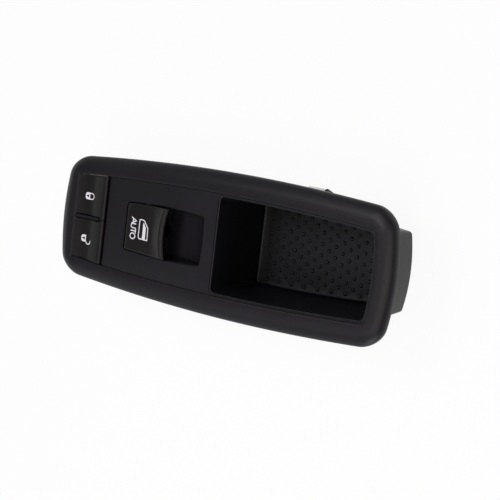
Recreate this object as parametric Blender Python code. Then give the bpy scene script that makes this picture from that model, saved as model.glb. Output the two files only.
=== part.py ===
"""Power window switch panel: a bezel with two lock keys, a window rocker with a finger scoop, and a
storage tray with a studded mat. The switch unit hangs under the panel and holds the contacts.

+X runs along the panel from the lock keys to the tray, +Y runs across it towards the lock key's side,
and +Z points out of the panel's face. The panel stands on the tray's underside and the connector's
mouth, at Z = 0. All lengths are in metres.
"""

import math

import bmesh
import bpy
from mathutils import Matrix, Vector

MM = 0.001

# Fits
RUN_GAP = 0.35 * MM
PART_GAP = 0.3 * MM

# Bezel
BEZEL_LENGTH = 189 * MM
BEZEL_HALF_WIDTH = 33.7 * MM
BEZEL_CORNER = 10 * MM
BEZEL_LEFT_CORNER = 10.2 * MM
BEZEL_SIDE_RADIUS = 1050 * MM
BEZEL_MID_X = 11.5 * MM
END_RADIUS = 115 * MM
BEZEL_WALL = 2.2 * MM
BEZEL_DROP = 5.6 * MM
BEZEL_CROWN = 0.45 * MM
SIDE_BORDER = 10.2 * MM
RIGHT_BORDER = 9.2 * MM
LEFT_BORDER = 9.5 * MM
SKIRT_DROP = 7.4 * MM
SKIRT_WALL = 1.3 * MM

# Field inside the bezel, with the lock keys at its left end and the centre panel beside them
FIELD_HALF_WIDTH = BEZEL_HALF_WIDTH - SIDE_BORDER
FIELD_RIGHT_X = BEZEL_LENGTH / 2 - RIGHT_BORDER
FIELD_SIDE_RADIUS = 1150 * MM
FIELD_MID_X = 2.5 * MM
FIELD_CORNER = 3.2 * MM
FIELD_LEFT_CORNER = 0.6 * MM
KEY_LENGTH = 19.8 * MM
KEY_LEFT_X = LEFT_BORDER - BEZEL_LENGTH / 2
PANEL_LEFT_X = KEY_LEFT_X + KEY_LENGTH
PANEL_WALL = 2.6 * MM
FLANGE_REACH = 3.8 * MM
FLANGE_TOP = 2.4 * MM
FLANGE_WALL = 1.7 * MM

# Window rocker and its opening
ROCKER_MARGIN = 11.6 * MM
ROCKER_LENGTH = 46.5 * MM
ROCKER_LEFT_X = PANEL_LEFT_X + ROCKER_MARGIN
ROCKER_RIGHT_X = ROCKER_LEFT_X + ROCKER_LENGTH
ROCKER_HALF_WIDTH = 12.35 * MM
ROCKER_MID_X = ROCKER_LEFT_X + ROCKER_LENGTH * 0.54
ROCKER_SIDE_RADIUS = 360 * MM
ROCKER_CORNER = 1.6 * MM
KNOB_GAP = 0.55 * MM
KNOB_LIP_X = ROCKER_LEFT_X + ROCKER_LENGTH * 0.54
KNOB_LIP_HOLLOW = 1.7 * MM
KNOB_LIP_HEIGHT = 2.9 * MM
KNOB_LIP_REACH = 6.8 * MM
KNOB_FRONT_X = KNOB_LIP_X - KNOB_LIP_REACH
KNOB_SKIN = 2.4 * MM
KNOB_CORNER = 1 * MM
PIVOT_X = ROCKER_LEFT_X + 9.5 * MM
PIVOT_DROP = 4.5 * MM
PIVOT_RADIUS = 1.35 * MM
CHEEK_WALL = 2 * MM
CHEEK_HALF = ROCKER_HALF_WIDTH - 2.75 * MM
SCOOP_LEFT_X = KNOB_FRONT_X + 2.5 * MM
SCOOP_DEPTH = 8.3 * MM
SCOOP_WALL = 1.5 * MM

# Storage tray
TRAY_MARGIN = 7.15 * MM
TRAY_LEFT_X = ROCKER_RIGHT_X + TRAY_MARGIN
TRAY_EDGE = 1.3 * MM
TRAY_ROUND = 0.65 * MM
TRAY_DEPTH = 34 * MM
TRAY_CORNER = 2.2 * MM
TRAY_WALL = 2 * MM
TRAY_END_WALL = 2.7 * MM
TRAY_BOX_CORNER = 1.5 * MM
TRAY_BOX_END_RADIUS = 80 * MM
TRAY_FLOOR_WALL = 1.8 * MM
TRAY_DRAFT_SIDE = 4 * MM
TRAY_DRAFT_LEFT = 1.45 * MM
TRAY_DRAFT_RIGHT = 4.2 * MM
TRAY_FLOOR_HALF_WIDTH = FIELD_HALF_WIDTH - TRAY_DRAFT_SIDE
TRAY_FLOOR_SIDE_RADIUS = 720 * MM
TRAY_MID_X = 7.5 * MM
MAT_WALL = 1.2 * MM
MAT_GAP = 0.4 * MM
STUD_RADIUS = 0.95 * MM
STUD_HEIGHT = 0.7 * MM
STUD_MARGIN = 6.2 * MM
STUD_END_MARGIN = 3 * MM
STUD_PITCH = 3.46 * MM
STUD_STRETCH = 1.0105
STUD_ROWS = 3
STUD_SHARE = 0.28

# Lock keys
KEY_GAP = 1.05 * MM
KEY_WALL = 2.2 * MM
KEY_HINGE_X = KEY_LEFT_X - 1.6 * MM
KEY_HINGE_DROP = 5.2 * MM
KEY_BARREL = 1.6 * MM
KEY_PIN_RADIUS = 0.75 * MM
KEY_CREST = 1.0 * MM
KEY_NOSE = 2.6 * MM
KEY_TRAVEL = 1.4 * MM
KEY_POST_X = KEY_LEFT_X + 12.5 * MM
KEY_POST_Y = FIELD_HALF_WIDTH * 0.447
KEY_POST_RADIUS = 1.3 * MM
RIB_END_X = PANEL_LEFT_X - 4.6 * MM
RIB_HALF = 0.7 * MM
RIB_GAP = 0.55 * MM

# Screws that hold the unit under the panel's flange
SCREW_LEFT_X = PANEL_LEFT_X + 6.7 * MM
SCREW_RIGHT_X = TRAY_LEFT_X - 10.55 * MM
SCREW_Y = FIELD_HALF_WIDTH + FLANGE_REACH / 4 - (SCREW_LEFT_X - FIELD_MID_X) ** 2 / (2 * FIELD_SIDE_RADIUS)
SCREW_RADIUS = 1 * MM
SCREW_HEAD_RADIUS = 2.6 * MM
SCREW_HEAD_HEIGHT = 1.9 * MM
BOSS_RADIUS = 2.3 * MM
BOSS_DROP = 7.5 * MM
EAR_WALL = 1.6 * MM

# Switch unit
UNIT_LEFT_X = KEY_HINGE_X - 3.9 * MM
UNIT_RIGHT_X = TRAY_LEFT_X - 3.55 * MM
UNIT_HALF_WIDTH = SCREW_Y - SCREW_HEAD_RADIUS - 0.47 * MM
UNIT_WALL = 1.6 * MM
UNIT_CORNER = 2.5 * MM
UNIT_SIDE_RADIUS = 1000
DECK_DROP = SCOOP_DEPTH + SCOOP_WALL + 2.4 * MM
DECK_WALL = 1.4 * MM
BOARD_DROP = DECK_DROP + 6.8 * MM
BOARD_WALL = 1.6 * MM
BOARD_MARGIN = 0.6 * MM
UNIT_DEPTH = BOARD_DROP + 5 * MM
COVER_WALL = 1.7 * MM
COVER_RIB = 0.8 * MM
TAB_XS = (UNIT_LEFT_X + 12 * MM, PIVOT_X, UNIT_RIGHT_X - 14 * MM)
TAB_WIDTH = 6.4 * MM
TAB_WALL = 1.2 * MM
TAB_RISE = 5.8 * MM
BARB_WIDTH = 3 * MM
BARB_LOW = 2.4 * MM
BARB_HIGH = 4.1 * MM
DOME_HEIGHT = 3.7 * MM
DOME_RADIUS = 3.2 * MM
FOOT_REACH = 5.5 * MM
FOOT_WIDTH = 3 * MM
LED_X = KEY_LEFT_X + 5 * MM

# Connector
CONNECTOR_X = UNIT_RIGHT_X - 17 * MM
CONNECTOR_LENGTH = 22 * MM
CONNECTOR_WIDTH = 12 * MM
CONNECTOR_WALL = 1.3 * MM
CONNECTOR_WEB = 3.9 * MM
PIN_COLUMNS = 4
PIN_PITCH = 3 * MM
PIN_ROW_Y = 1.8 * MM
PIN_SIDE = 0.8 * MM
PIN_RECESS = 5 * MM

# Hooks and spring clips
HOOK_XS = (PIVOT_X - 1 * MM, TRAY_LEFT_X + 13.45 * MM, FIELD_RIGHT_X - 15.8 * MM)
HOOK_WIDTH = 7 * MM
CLIP_X = TRAY_LEFT_X + (FIELD_RIGHT_X - TRAY_LEFT_X) * 0.5214
CLIP_WIDTH = 9 * MM
CLIP_CREST_Y = BEZEL_HALF_WIDTH - 0.6 * MM
CLIP_CREST_DROP = 11.5 * MM
CLIP_METAL = 0.6 * MM
TOWER_WALL = 1.6 * MM
TOWER_DROP = 18.5 * MM

# Steps along the sides, the ends and the corners of a small outline
FEW_STEPS = {"long_steps": 5, "end_steps": 3, "corner_steps": 3}

# Height of the field's face over the surface that the panel stands on
FACE_Z = TRAY_DEPTH + MAT_WALL + PART_GAP + TRAY_FLOOR_WALL


def height(drop):
    """The Z of a level this far under the field's face."""
    return FACE_Z - drop


def material(name, colour, roughness, metallic=0.0):
    made = bpy.data.materials.new(name)
    made.use_nodes = True
    shader = made.node_tree.nodes["Principled BSDF"]
    shader.inputs["Base Color"].default_value = (*colour, 1.0)
    shader.inputs["Roughness"].default_value = roughness
    shader.inputs["Metallic"].default_value = metallic
    return made


class Outline:
    """A rounded rectangle seen from above, with long sides that bow about mid and ends that may bow."""

    def __init__(
        self, left, right, half, corner, side_radius, mid, bow_left=None, bow_right=None, corner_left=None
    ):
        self.left = left
        self.right = right
        self.half = half
        self.corner = corner
        self.corner_left = corner if corner_left is None else corner_left
        self.side_radius = side_radius
        self.mid = mid
        self.bow_left = bow_left
        self.bow_right = bow_right

    def half_at(self, x, grow=0.0):
        return self.half + grow - (x - self.mid) ** 2 / (2 * self.side_radius)

    def loop(self, z, grow=0.0, left=None, right=None, long_steps=9, end_steps=4, corner_steps=4):
        """Its points at height z, grown sideways by grow, anticlockwise from the right end."""
        left = self.left - grow if left is None else left
        right = self.right + grow if right is None else right
        half = self.half + grow
        near = max(self.corner_left + grow, 0.4 * MM)
        far = max(self.corner + grow, 0.4 * MM)
        centres = (
            (right - far, half - far, far), (left + near, half - near, near),
            (left + near, near - half, near), (right - far, far - half, far),
        )
        arcs = []
        for quarter, (x, y, radius) in enumerate(centres):
            turns = [math.pi / 2 * (quarter + step / corner_steps) for step in range(corner_steps + 1)]
            arcs.append([Vector((x + radius * math.cos(a), y + radius * math.sin(a))) for a in turns])
        flat = []
        for quarter, arc in enumerate(arcs):
            steps = end_steps if quarter % 2 else long_steps
            following = arcs[(quarter + 1) % 4][0]
            flat += arc + [arc[-1].lerp(following, step / steps) for step in range(1, steps)]
        return [self.bowed(point, z, grow, left, right) for point in flat]

    def bowed(self, point, z, grow, left, right):
        share = (point.x - (left + right) / 2) / ((right - left) / 2)
        radius = self.bow_right if share > 0 else self.bow_left
        y = point.y * self.half_at(point.x, grow) / (self.half + grow)
        x = point.x - share * y * y / (2 * radius) if radius else point.x
        return Vector((x, y, z))


def loft(loops, ring=False, skin=None):
    """A closed skin over loops of equal length. A ring's last loop joins its first, and others get caps.

    With a skin given, the new one is added to it as a separate body.
    """
    if skin is None:
        skin = bmesh.new()
    rows = [[skin.verts.new(point) for point in loop] for loop in loops]
    count = len(rows[0])
    pairs = list(zip(rows, rows[1:] + rows[:1])) if ring else list(zip(rows, rows[1:]))
    for lower, upper in pairs:
        for i in range(count):
            j = (i + 1) % count
            skin.faces.new((lower[i], lower[j], upper[j], upper[i]))
    if not ring:
        skin.faces.new(rows[0])
        skin.faces.new(rows[-1])
    bmesh.ops.recalc_face_normals(skin, faces=skin.faces)
    return skin


def across(profile, near, far):
    """A profile of (x, z) points drawn out from Y = near to Y = far."""
    return loft([[Vector((x, y, z)) for x, z in profile] for y in (near, far)])


def along(profile, near, far):
    """A profile of (y, z) points drawn out from X = near to X = far."""
    return loft([[Vector((x, y, z)) for y, z in profile] for x in (near, far)])


def block(x, y, z):
    """A box from the (low, high) pair on each axis."""
    return across([(x[0], z[0]), (x[1], z[0]), (x[1], z[1]), (x[0], z[1])], *y)


def circle(radius, z, centre, steps):
    turns = [2 * math.pi * (step + 0.5) / steps for step in range(steps)]
    return [Vector((centre[0] + radius * math.cos(a), centre[1] + radius * math.sin(a), z)) for a in turns]


def turned(profile, centre, steps=10, ring=False):
    """A turned piece on an upright axis, from (radius, z) points."""
    return loft([circle(radius, z, centre, steps) for radius, z in profile], ring)


def rod_y(x, z, radius, near, far, steps=16):
    """A round rod along Y."""
    turns = [2 * math.pi * (step + 0.5) / steps for step in range(steps)]
    return across([(x + radius * math.cos(a), z + radius * math.sin(a)) for a in turns], near, far)


def node(name, skin, look, origin=(0, 0, 0)):
    """The named object of a skin, with its own origin."""
    mesh = bpy.data.meshes.new(name)
    skin.to_mesh(mesh)
    skin.free()
    mesh.transform(Matrix.Translation(-Vector(origin)))
    mesh.materials.append(look)
    mesh.shade_smooth()
    mesh.set_sharp_from_angle(angle=math.radians(35))
    made = bpy.data.objects.new(name, mesh)
    made.location = origin
    bpy.context.collection.objects.link(made)
    return made


def shape(made, skin, operation):
    """Adds a skin to the object, or takes it away, with a Boolean."""
    helper_mesh = bpy.data.meshes.new(f"{made.name}_helper")
    skin.to_mesh(helper_mesh)
    skin.free()
    helper = bpy.data.objects.new(helper_mesh.name, helper_mesh)
    helper.hide_render = True
    helper.display_type = "WIRE"
    bpy.context.collection.objects.link(helper)
    modifier = made.modifiers.new(helper.name, "BOOLEAN")
    modifier.operation = operation
    modifier.object = helper


def add(made, skin):
    shape(made, skin, "UNION")


def cut(made, skin):
    shape(made, skin, "DIFFERENCE")


def bezel_outline():
    return Outline(
        -BEZEL_LENGTH / 2, BEZEL_LENGTH / 2, BEZEL_HALF_WIDTH, BEZEL_CORNER,
        BEZEL_SIDE_RADIUS, BEZEL_MID_X, END_RADIUS, END_RADIUS, BEZEL_LEFT_CORNER,
    )


def field_outline(left):
    return Outline(
        left, FIELD_RIGHT_X, FIELD_HALF_WIDTH, FIELD_CORNER, FIELD_SIDE_RADIUS, FIELD_MID_X, None, END_RADIUS,
        FIELD_LEFT_CORNER,
    )


def tray_rim():
    return Outline(
        TRAY_LEFT_X, FIELD_RIGHT_X - TRAY_EDGE, FIELD_HALF_WIDTH - TRAY_EDGE, TRAY_CORNER,
        FIELD_SIDE_RADIUS, FIELD_MID_X, None, END_RADIUS,
    )


def tray_floor():
    return Outline(
        TRAY_LEFT_X + TRAY_DRAFT_LEFT, FIELD_RIGHT_X - TRAY_EDGE - TRAY_DRAFT_RIGHT, TRAY_FLOOR_HALF_WIDTH,
        TRAY_CORNER, TRAY_FLOOR_SIDE_RADIUS, TRAY_MID_X, None, END_RADIUS,
    )


def tray_box():
    """The outside of the tray at its foot, with a thicker right end."""
    floor = tray_floor()
    return Outline(
        floor.left - TRAY_WALL, floor.right + TRAY_END_WALL, floor.half + TRAY_END_WALL, TRAY_BOX_CORNER,
        TRAY_FLOOR_SIDE_RADIUS, TRAY_MID_X, None, TRAY_BOX_END_RADIUS,
    )


def rocker_outline(left=ROCKER_LEFT_X):
    return Outline(
        left, ROCKER_RIGHT_X, ROCKER_HALF_WIDTH, ROCKER_CORNER, ROCKER_SIDE_RADIUS, ROCKER_MID_X, None,
        END_RADIUS,
    )


def rounded_bar(left, right, half, steps=8):
    """Seen from above, a bar with a half-round right end, as (x, y) points."""
    turns = [math.pi * (step / steps - 0.5) for step in range(steps + 1)]
    end = [(right - half + half * math.cos(a), half * math.sin(a)) for a in turns]
    return [*end, (left, half), (left, -half)]


def upright(profile, low, high):
    """A profile of (x, y) points drawn up from Z = low to Z = high."""
    return loft([[Vector((x, y, z)) for x, y in profile] for z in (low, high)])


def screw_places():
    """The (x, y) of each screw, on the middle of the panel's flange."""
    outline = field_outline(PANEL_LEFT_X)
    columns = (SCREW_LEFT_X, SCREW_RIGHT_X)
    return [(x, side * (outline.half_at(x) + FLANGE_REACH / 4)) for x in columns for side in (1, -1)]


def bezel_frame(look):
    """The trim ring: crowned border, down-turned edge, divider rib between the keys and snap hooks."""
    inner = field_outline(KEY_LEFT_X).loop(0.0)
    outer = bezel_outline().loop(0.0)
    edge_drop = BEZEL_WALL + 1.2 * MM
    section = (
        (0.0, -0.1 * MM), (0.03, -BEZEL_CROWN + 0.1 * MM), (0.25, -BEZEL_CROWN), (0.5, -0.2 * MM),
        (0.7, 0.45 * MM), (0.85, 1.2 * MM), (0.94, 1.9 * MM), (0.985, 2.6 * MM), (1.0, edge_drop),
        (0.985, BEZEL_DROP), (0.86, BEZEL_DROP), (0.83, edge_drop + 0.2 * MM),
        (0.6, BEZEL_WALL + 0.3 * MM), (0.3, BEZEL_WALL - BEZEL_CROWN), (0.0, BEZEL_WALL - BEZEL_CROWN),
    )
    loops = []
    for share, drop in section:
        loops.append([a.lerp(b, share) + Vector((0, 0, height(drop))) for a, b in zip(inner, outer)])
    frame = node("bezel_frame", loft(loops, ring=True), look)
    rib_low = height(BEZEL_WALL - BEZEL_CROWN - 0.1 * MM)
    add(frame, upright(rounded_bar(KEY_LEFT_X - 2 * MM, RIB_END_X, RIB_HALF), rib_low, height(-0.2 * MM)))
    field = field_outline(KEY_LEFT_X)
    xs = [KEY_LEFT_X + (PANEL_LEFT_X - KEY_LEFT_X) * step / 4 for step in range(5)]
    for side in (1, -1):
        near = [(x, side * (field.half_at(x) + 0.05 * MM)) for x in xs]
        far = [(x, side * (field.half_at(x) + SKIRT_WALL)) for x in reversed(xs)]
        add(frame, upright(near + far, height(SKIRT_DROP), height(BEZEL_WALL / 3)))
    flange_low = FLANGE_TOP + FLANGE_WALL
    for x in HOOK_XS:
        for side in (1, -1):
            edge = field.half_at(x) - RUN_GAP + FLANGE_REACH
            leg = edge + 2 * PART_GAP
            hook = (
                (leg, BEZEL_WALL - 0.6 * MM), (leg, flange_low + PART_GAP),
                (leg - 1.2 * MM, flange_low + PART_GAP), (leg, flange_low + 1.9 * MM),
                (leg + 1.3 * MM, flange_low + 1.9 * MM), (leg + 1.3 * MM, BEZEL_WALL - 0.6 * MM),
            )
            profile = [(side * y, height(drop)) for y, drop in hook]
            add(frame, along(profile, x - HOOK_WIDTH / 2, x + HOOK_WIDTH / 2))
    return frame


def centre_panel(look):
    """The field's moulding: plate with a flange, rocker opening, finger scoop, tray and clip towers."""
    outline = field_outline(PANEL_LEFT_X)
    grow = -RUN_GAP
    left = PANEL_LEFT_X
    back = left + 0.8 * MM
    flange_low = FLANGE_TOP + FLANGE_WALL
    loops = [
        outline.loop(height(0), grow - 0.3 * MM, left + 0.3 * MM),
        outline.loop(height(0.3 * MM), grow, left),
        outline.loop(height(FLANGE_TOP), grow, left),
        outline.loop(height(FLANGE_TOP), grow + FLANGE_REACH, back),
        outline.loop(height(flange_low), grow + FLANGE_REACH, back),
        outline.loop(height(flange_low), grow - 1.6 * MM, back + 1.6 * MM),
        outline.loop(height(PANEL_WALL), grow - 1.6 * MM, back + 1.6 * MM),
    ]
    panel = node("centre_panel", loft(loops), look)

    rim = tray_rim()
    floor = tray_floor()
    floor_drop = TRAY_DEPTH + MAT_WALL + PART_GAP
    add(panel, loft([
        rim.loop(height(PANEL_WALL - 0.4 * MM), TRAY_WALL),
        tray_box().loop(0.7 * MM),
        tray_box().loop(0.0, -0.7 * MM),
    ]))
    bowl = rocker_outline(SCOOP_LEFT_X)
    bowl_right = ROCKER_RIGHT_X - 9 * MM
    add(panel, loft([
        bowl.loop(height(PANEL_WALL - 0.3 * MM), SCOOP_WALL, SCOOP_LEFT_X, **FEW_STEPS),
        bowl.loop(height(SCOOP_DEPTH * 0.55), SCOOP_WALL * 0.7, SCOOP_LEFT_X, **FEW_STEPS),
        bowl.loop(height(SCOOP_DEPTH + SCOOP_WALL), -0.4 * MM, SCOOP_LEFT_X, bowl_right, **FEW_STEPS),
    ]))
    for x, y in screw_places():
        boss = ((BOSS_RADIUS, height(flange_low - 0.4 * MM)), (BOSS_RADIUS, height(BOSS_DROP)))
        add(panel, turned(boss, (x, y)))
    for side in (1, -1):
        add(panel, clip_tower(side))
        for end in (1, -1):
            add(panel, clip_cheek(side, end))

    cut(panel, loft([
        rim.loop(height(-1 * MM), TRAY_ROUND),
        rim.loop(height(0), TRAY_ROUND),
        rim.loop(height(TRAY_ROUND), 0),
        floor.loop(height(floor_drop - 0.8 * MM), 0),
        floor.loop(height(floor_drop), -0.8 * MM),
    ]))
    hole = rocker_outline()
    cut(panel, loft([
        hole.loop(height(-1 * MM), 0.3 * MM, **FEW_STEPS),
        hole.loop(height(0), 0.3 * MM, **FEW_STEPS),
        hole.loop(height(0.3 * MM), 0, **FEW_STEPS),
        hole.loop(height(PANEL_WALL + 0.05 * MM), 0, **FEW_STEPS),
    ]))
    ramp = (
        (0.22, 0.1, 0.1), (0.36, 0.2, 0.5), (0.6, 0.6, 2.0), (0.82, 1.0, 5.0), (0.94, 1.3, 9.0),
        (1.0, 1.6, 14.0),
    )
    cut(panel, loft([
        hole.loop(
            height(SCOOP_DEPTH * share), -inset * MM, SCOOP_LEFT_X - 2 * MM, ROCKER_RIGHT_X - back * MM,
            **FEW_STEPS,
        )
        for share, inset, back in ramp
    ]))
    for x, y in screw_places():
        bore = SCREW_RADIUS + PART_GAP
        pilot = ((bore, height(BOSS_DROP + 1 * MM)), (bore, height(FLANGE_TOP + 0.7 * MM)))
        cut(panel, turned(pilot, (x, y)))
    return panel


def tower_y():
    """The inner face of the plate that carries a spring clip."""
    outline = field_outline(PANEL_LEFT_X)
    return outline.half_at(CLIP_X) - RUN_GAP + FLANGE_REACH - TOWER_WALL - 0.4 * MM


def clip_tower(side):
    inner = tower_y()
    profile = [
        (side * y, height(drop))
        for y, drop in (
            (inner, FLANGE_TOP + 0.8 * MM), (inner, TOWER_DROP), (inner + TOWER_WALL, TOWER_DROP),
            (inner + TOWER_WALL, FLANGE_TOP + 0.8 * MM),
        )
    ]
    half = CLIP_WIDTH / 2 + 0.8 * MM
    return along(profile, CLIP_X - half, CLIP_X + half)


def clip_cheek(side, end):
    """A plate beside the clip's end that keeps it from being bent sideways."""
    near = tower_y() + TOWER_WALL - 0.2 * MM
    profile = [
        (side * y, height(drop))
        for y, drop in (
            (near, TOWER_DROP), (CLIP_CREST_Y - 2.6 * MM, TOWER_DROP), (CLIP_CREST_Y - 0.3 * MM, 12.2 * MM),
            (CLIP_CREST_Y - 0.3 * MM, CLIP_CREST_DROP - 0.2 * MM), (near, BEZEL_DROP + 1.4 * MM),
        )
    ]
    start = CLIP_X + end * (CLIP_WIDTH / 2 + PART_GAP)
    return along(profile, start, start + end * 1.1 * MM)


def ribbon(path, thickness):
    """The outline of a folded strip whose left side follows path, a list of (y, z) vectors."""
    back = []
    for i, point in enumerate(path):
        before = (point - path[i - 1]).normalized() if i else None
        after = (path[i + 1] - point).normalized() if i + 1 < len(path) else None
        ways = [way for way in (before, after) if way is not None]
        mean = sum(ways, Vector((0, 0))).normalized()
        normal = Vector((-mean.y, mean.x))
        stretch = 1 / max(normal.dot(Vector((-ways[0].y, ways[0].x))), 0.4)
        back.append(point + normal * thickness * stretch)
    return [*path, *reversed(back)]


def spring_clip(name, side, look):
    """A folded steel strip over a tower: it bulges out to grip the edge of the door panel's cut-out."""
    inner = tower_y() - PART_GAP
    outer = tower_y() + TOWER_WALL + PART_GAP
    bottom = TOWER_DROP + PART_GAP
    path = (
        (inner, CLIP_CREST_DROP - 3 * MM), (inner, bottom), (outer, bottom),
        (CLIP_CREST_Y - 1.5 * MM, CLIP_CREST_DROP + 1.6 * MM), (CLIP_CREST_Y - CLIP_METAL, CLIP_CREST_DROP),
        (CLIP_CREST_Y - 1.5 * MM, CLIP_CREST_DROP - 1.4 * MM), (outer + 0.8 * MM, BEZEL_DROP + 1.4 * MM),
    )
    strip = ribbon([Vector((y, -drop)) for y, drop in path], -CLIP_METAL)
    profile = [(side * point.x, FACE_Z + point.y) for point in strip]
    return node(name, along(profile, CLIP_X - CLIP_WIDTH / 2, CLIP_X + CLIP_WIDTH / 2), look)


def stud_places():
    """The (x, y) of each stud: staggered rows that close up as the mat narrows, in columns that spread."""
    floor = tray_floor()
    places = []
    x = floor.left + STUD_MARGIN
    pitch = STUD_PITCH
    shift = 0.0
    while x < floor.right - STUD_END_MARGIN:
        rows = [row + shift for row in range(-STUD_ROWS, STUD_ROWS + 1)]
        places += [(x, STUD_SHARE * row * floor.half_at(x)) for row in rows if row <= STUD_ROWS]
        x += pitch
        pitch *= STUD_STRETCH
        shift = 0.5 - shift
    return places


def tray_mat(look):
    """The rubber mat on the tray's floor, with its studs."""
    floor = tray_floor()
    top = height(TRAY_DEPTH)
    mat = node("tray_mat", loft([
        floor.loop(top, -MAT_GAP - 0.3 * MM, **FEW_STEPS),
        floor.loop(top - 0.3 * MM, -MAT_GAP, **FEW_STEPS),
        floor.loop(top - MAT_WALL * 0.6, -MAT_GAP, **FEW_STEPS),
        floor.loop(top - MAT_WALL, -0.8 * MM - MAT_GAP, **FEW_STEPS),
    ]), look)
    studs = bmesh.new()
    for place in stud_places():
        profile = ((STUD_RADIUS, top - 0.1 * MM), (STUD_RADIUS * 0.65, top + STUD_HEIGHT))
        loft([circle(radius, z, place, 6) for radius, z in profile], skin=studs)
    add(mat, studs)
    return mat


def window_rocker(look):
    """The knob: a skin with a hollowed lip, two cheeks on the pivot pin and two feet over the domes."""
    hole = rocker_outline()
    left = ROCKER_LEFT_X + KNOB_GAP
    low = PIVOT_DROP + 2 * MM

    def profile(share):
        lip = KNOB_LIP_X + KNOB_LIP_HOLLOW * share * share
        ease = 0.35 * MM if abs(share) == 1 else 0.0
        crest = KNOB_LIP_HEIGHT - ease
        near = left + KNOB_CORNER * max(abs(share) - 0.94, 0) / 0.06
        return (
            (near, -PANEL_WALL), (near, -0.9 * MM), (near + 0.3 * MM, -0.25 * MM - ease),
            (near + 1 * MM, 0.05 * MM - ease), (left + 7 * MM, 0.45 * MM - ease),
            (KNOB_FRONT_X - 4 * MM, 0.9 * MM - ease), (KNOB_FRONT_X - 0.2 * MM, 1.25 * MM - ease),
            (lip - 3.6 * MM, crest - 0.55 * MM), (lip - 2 * MM, crest), (lip - 0.6 * MM, crest - 0.3 * MM),
            (lip, crest - 1.2 * MM), (lip - 0.6 * MM, crest - 2.1 * MM), (lip - 3 * MM, -0.1 * MM),
            (KNOB_FRONT_X + 0.6 * MM, -1.8 * MM), (KNOB_FRONT_X, -low), (KNOB_FRONT_X - 1.8 * MM, -low),
            (KNOB_FRONT_X - 2.2 * MM, 0.9 * MM - KNOB_SKIN), (left + 2 * MM, 0.2 * MM - KNOB_SKIN),
            (left + 1.8 * MM, -PANEL_WALL),
        )

    shares = (-1, -0.97, -0.94, -0.7, -0.45, -0.2, 0, 0.2, 0.45, 0.7, 0.94, 0.97, 1)
    sections = [
        [Vector((x, share * (hole.half_at(x) - KNOB_GAP), FACE_Z + z)) for x, z in profile(share)]
        for share in shares
    ]
    pivot = (PIVOT_X, 0, height(PIVOT_DROP))
    knob = node("window_rocker", loft(sections), look, pivot)
    cheek = (
        (PIVOT_X - 6 * MM, 1.2 * MM), (PIVOT_X + 6 * MM, 1.2 * MM),
        (PIVOT_X + 2.6 * MM, PIVOT_DROP + 2.6 * MM), (PIVOT_X + 1.2 * MM, PIVOT_DROP + 3.4 * MM),
        (PIVOT_X - 1.2 * MM, PIVOT_DROP + 3.4 * MM), (PIVOT_X - 2.6 * MM, PIVOT_DROP + 2.6 * MM),
    )
    for side in (1, -1):
        profile_xz = [(x, height(drop)) for x, drop in cheek]
        add(knob, across(profile_xz, side * CHEEK_HALF, side * (CHEEK_HALF - CHEEK_WALL)))
    sole = BOARD_DROP - DOME_HEIGHT - 2 * PART_GAP
    outer = FOOT_REACH + FOOT_WIDTH / 2
    inner = FOOT_REACH - FOOT_WIDTH / 2
    web = PIVOT_DROP + 4.5 * MM
    legs = (
        (-outer, 1.2 * MM), (-outer, sole), (-inner, sole), (-inner + 0.4 * MM, web),
        (inner - 0.4 * MM, web), (inner, sole), (outer, sole), (outer, 1.2 * MM),
    )
    add(knob, across([(PIVOT_X + x, height(drop)) for x, drop in legs], -2.2 * MM, 2.2 * MM))
    bore = PIVOT_RADIUS + PART_GAP
    reach = CHEEK_HALF + 1 * MM
    cut(knob, rod_y(PIVOT_X, height(PIVOT_DROP), bore, -reach, reach))
    return knob


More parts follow.
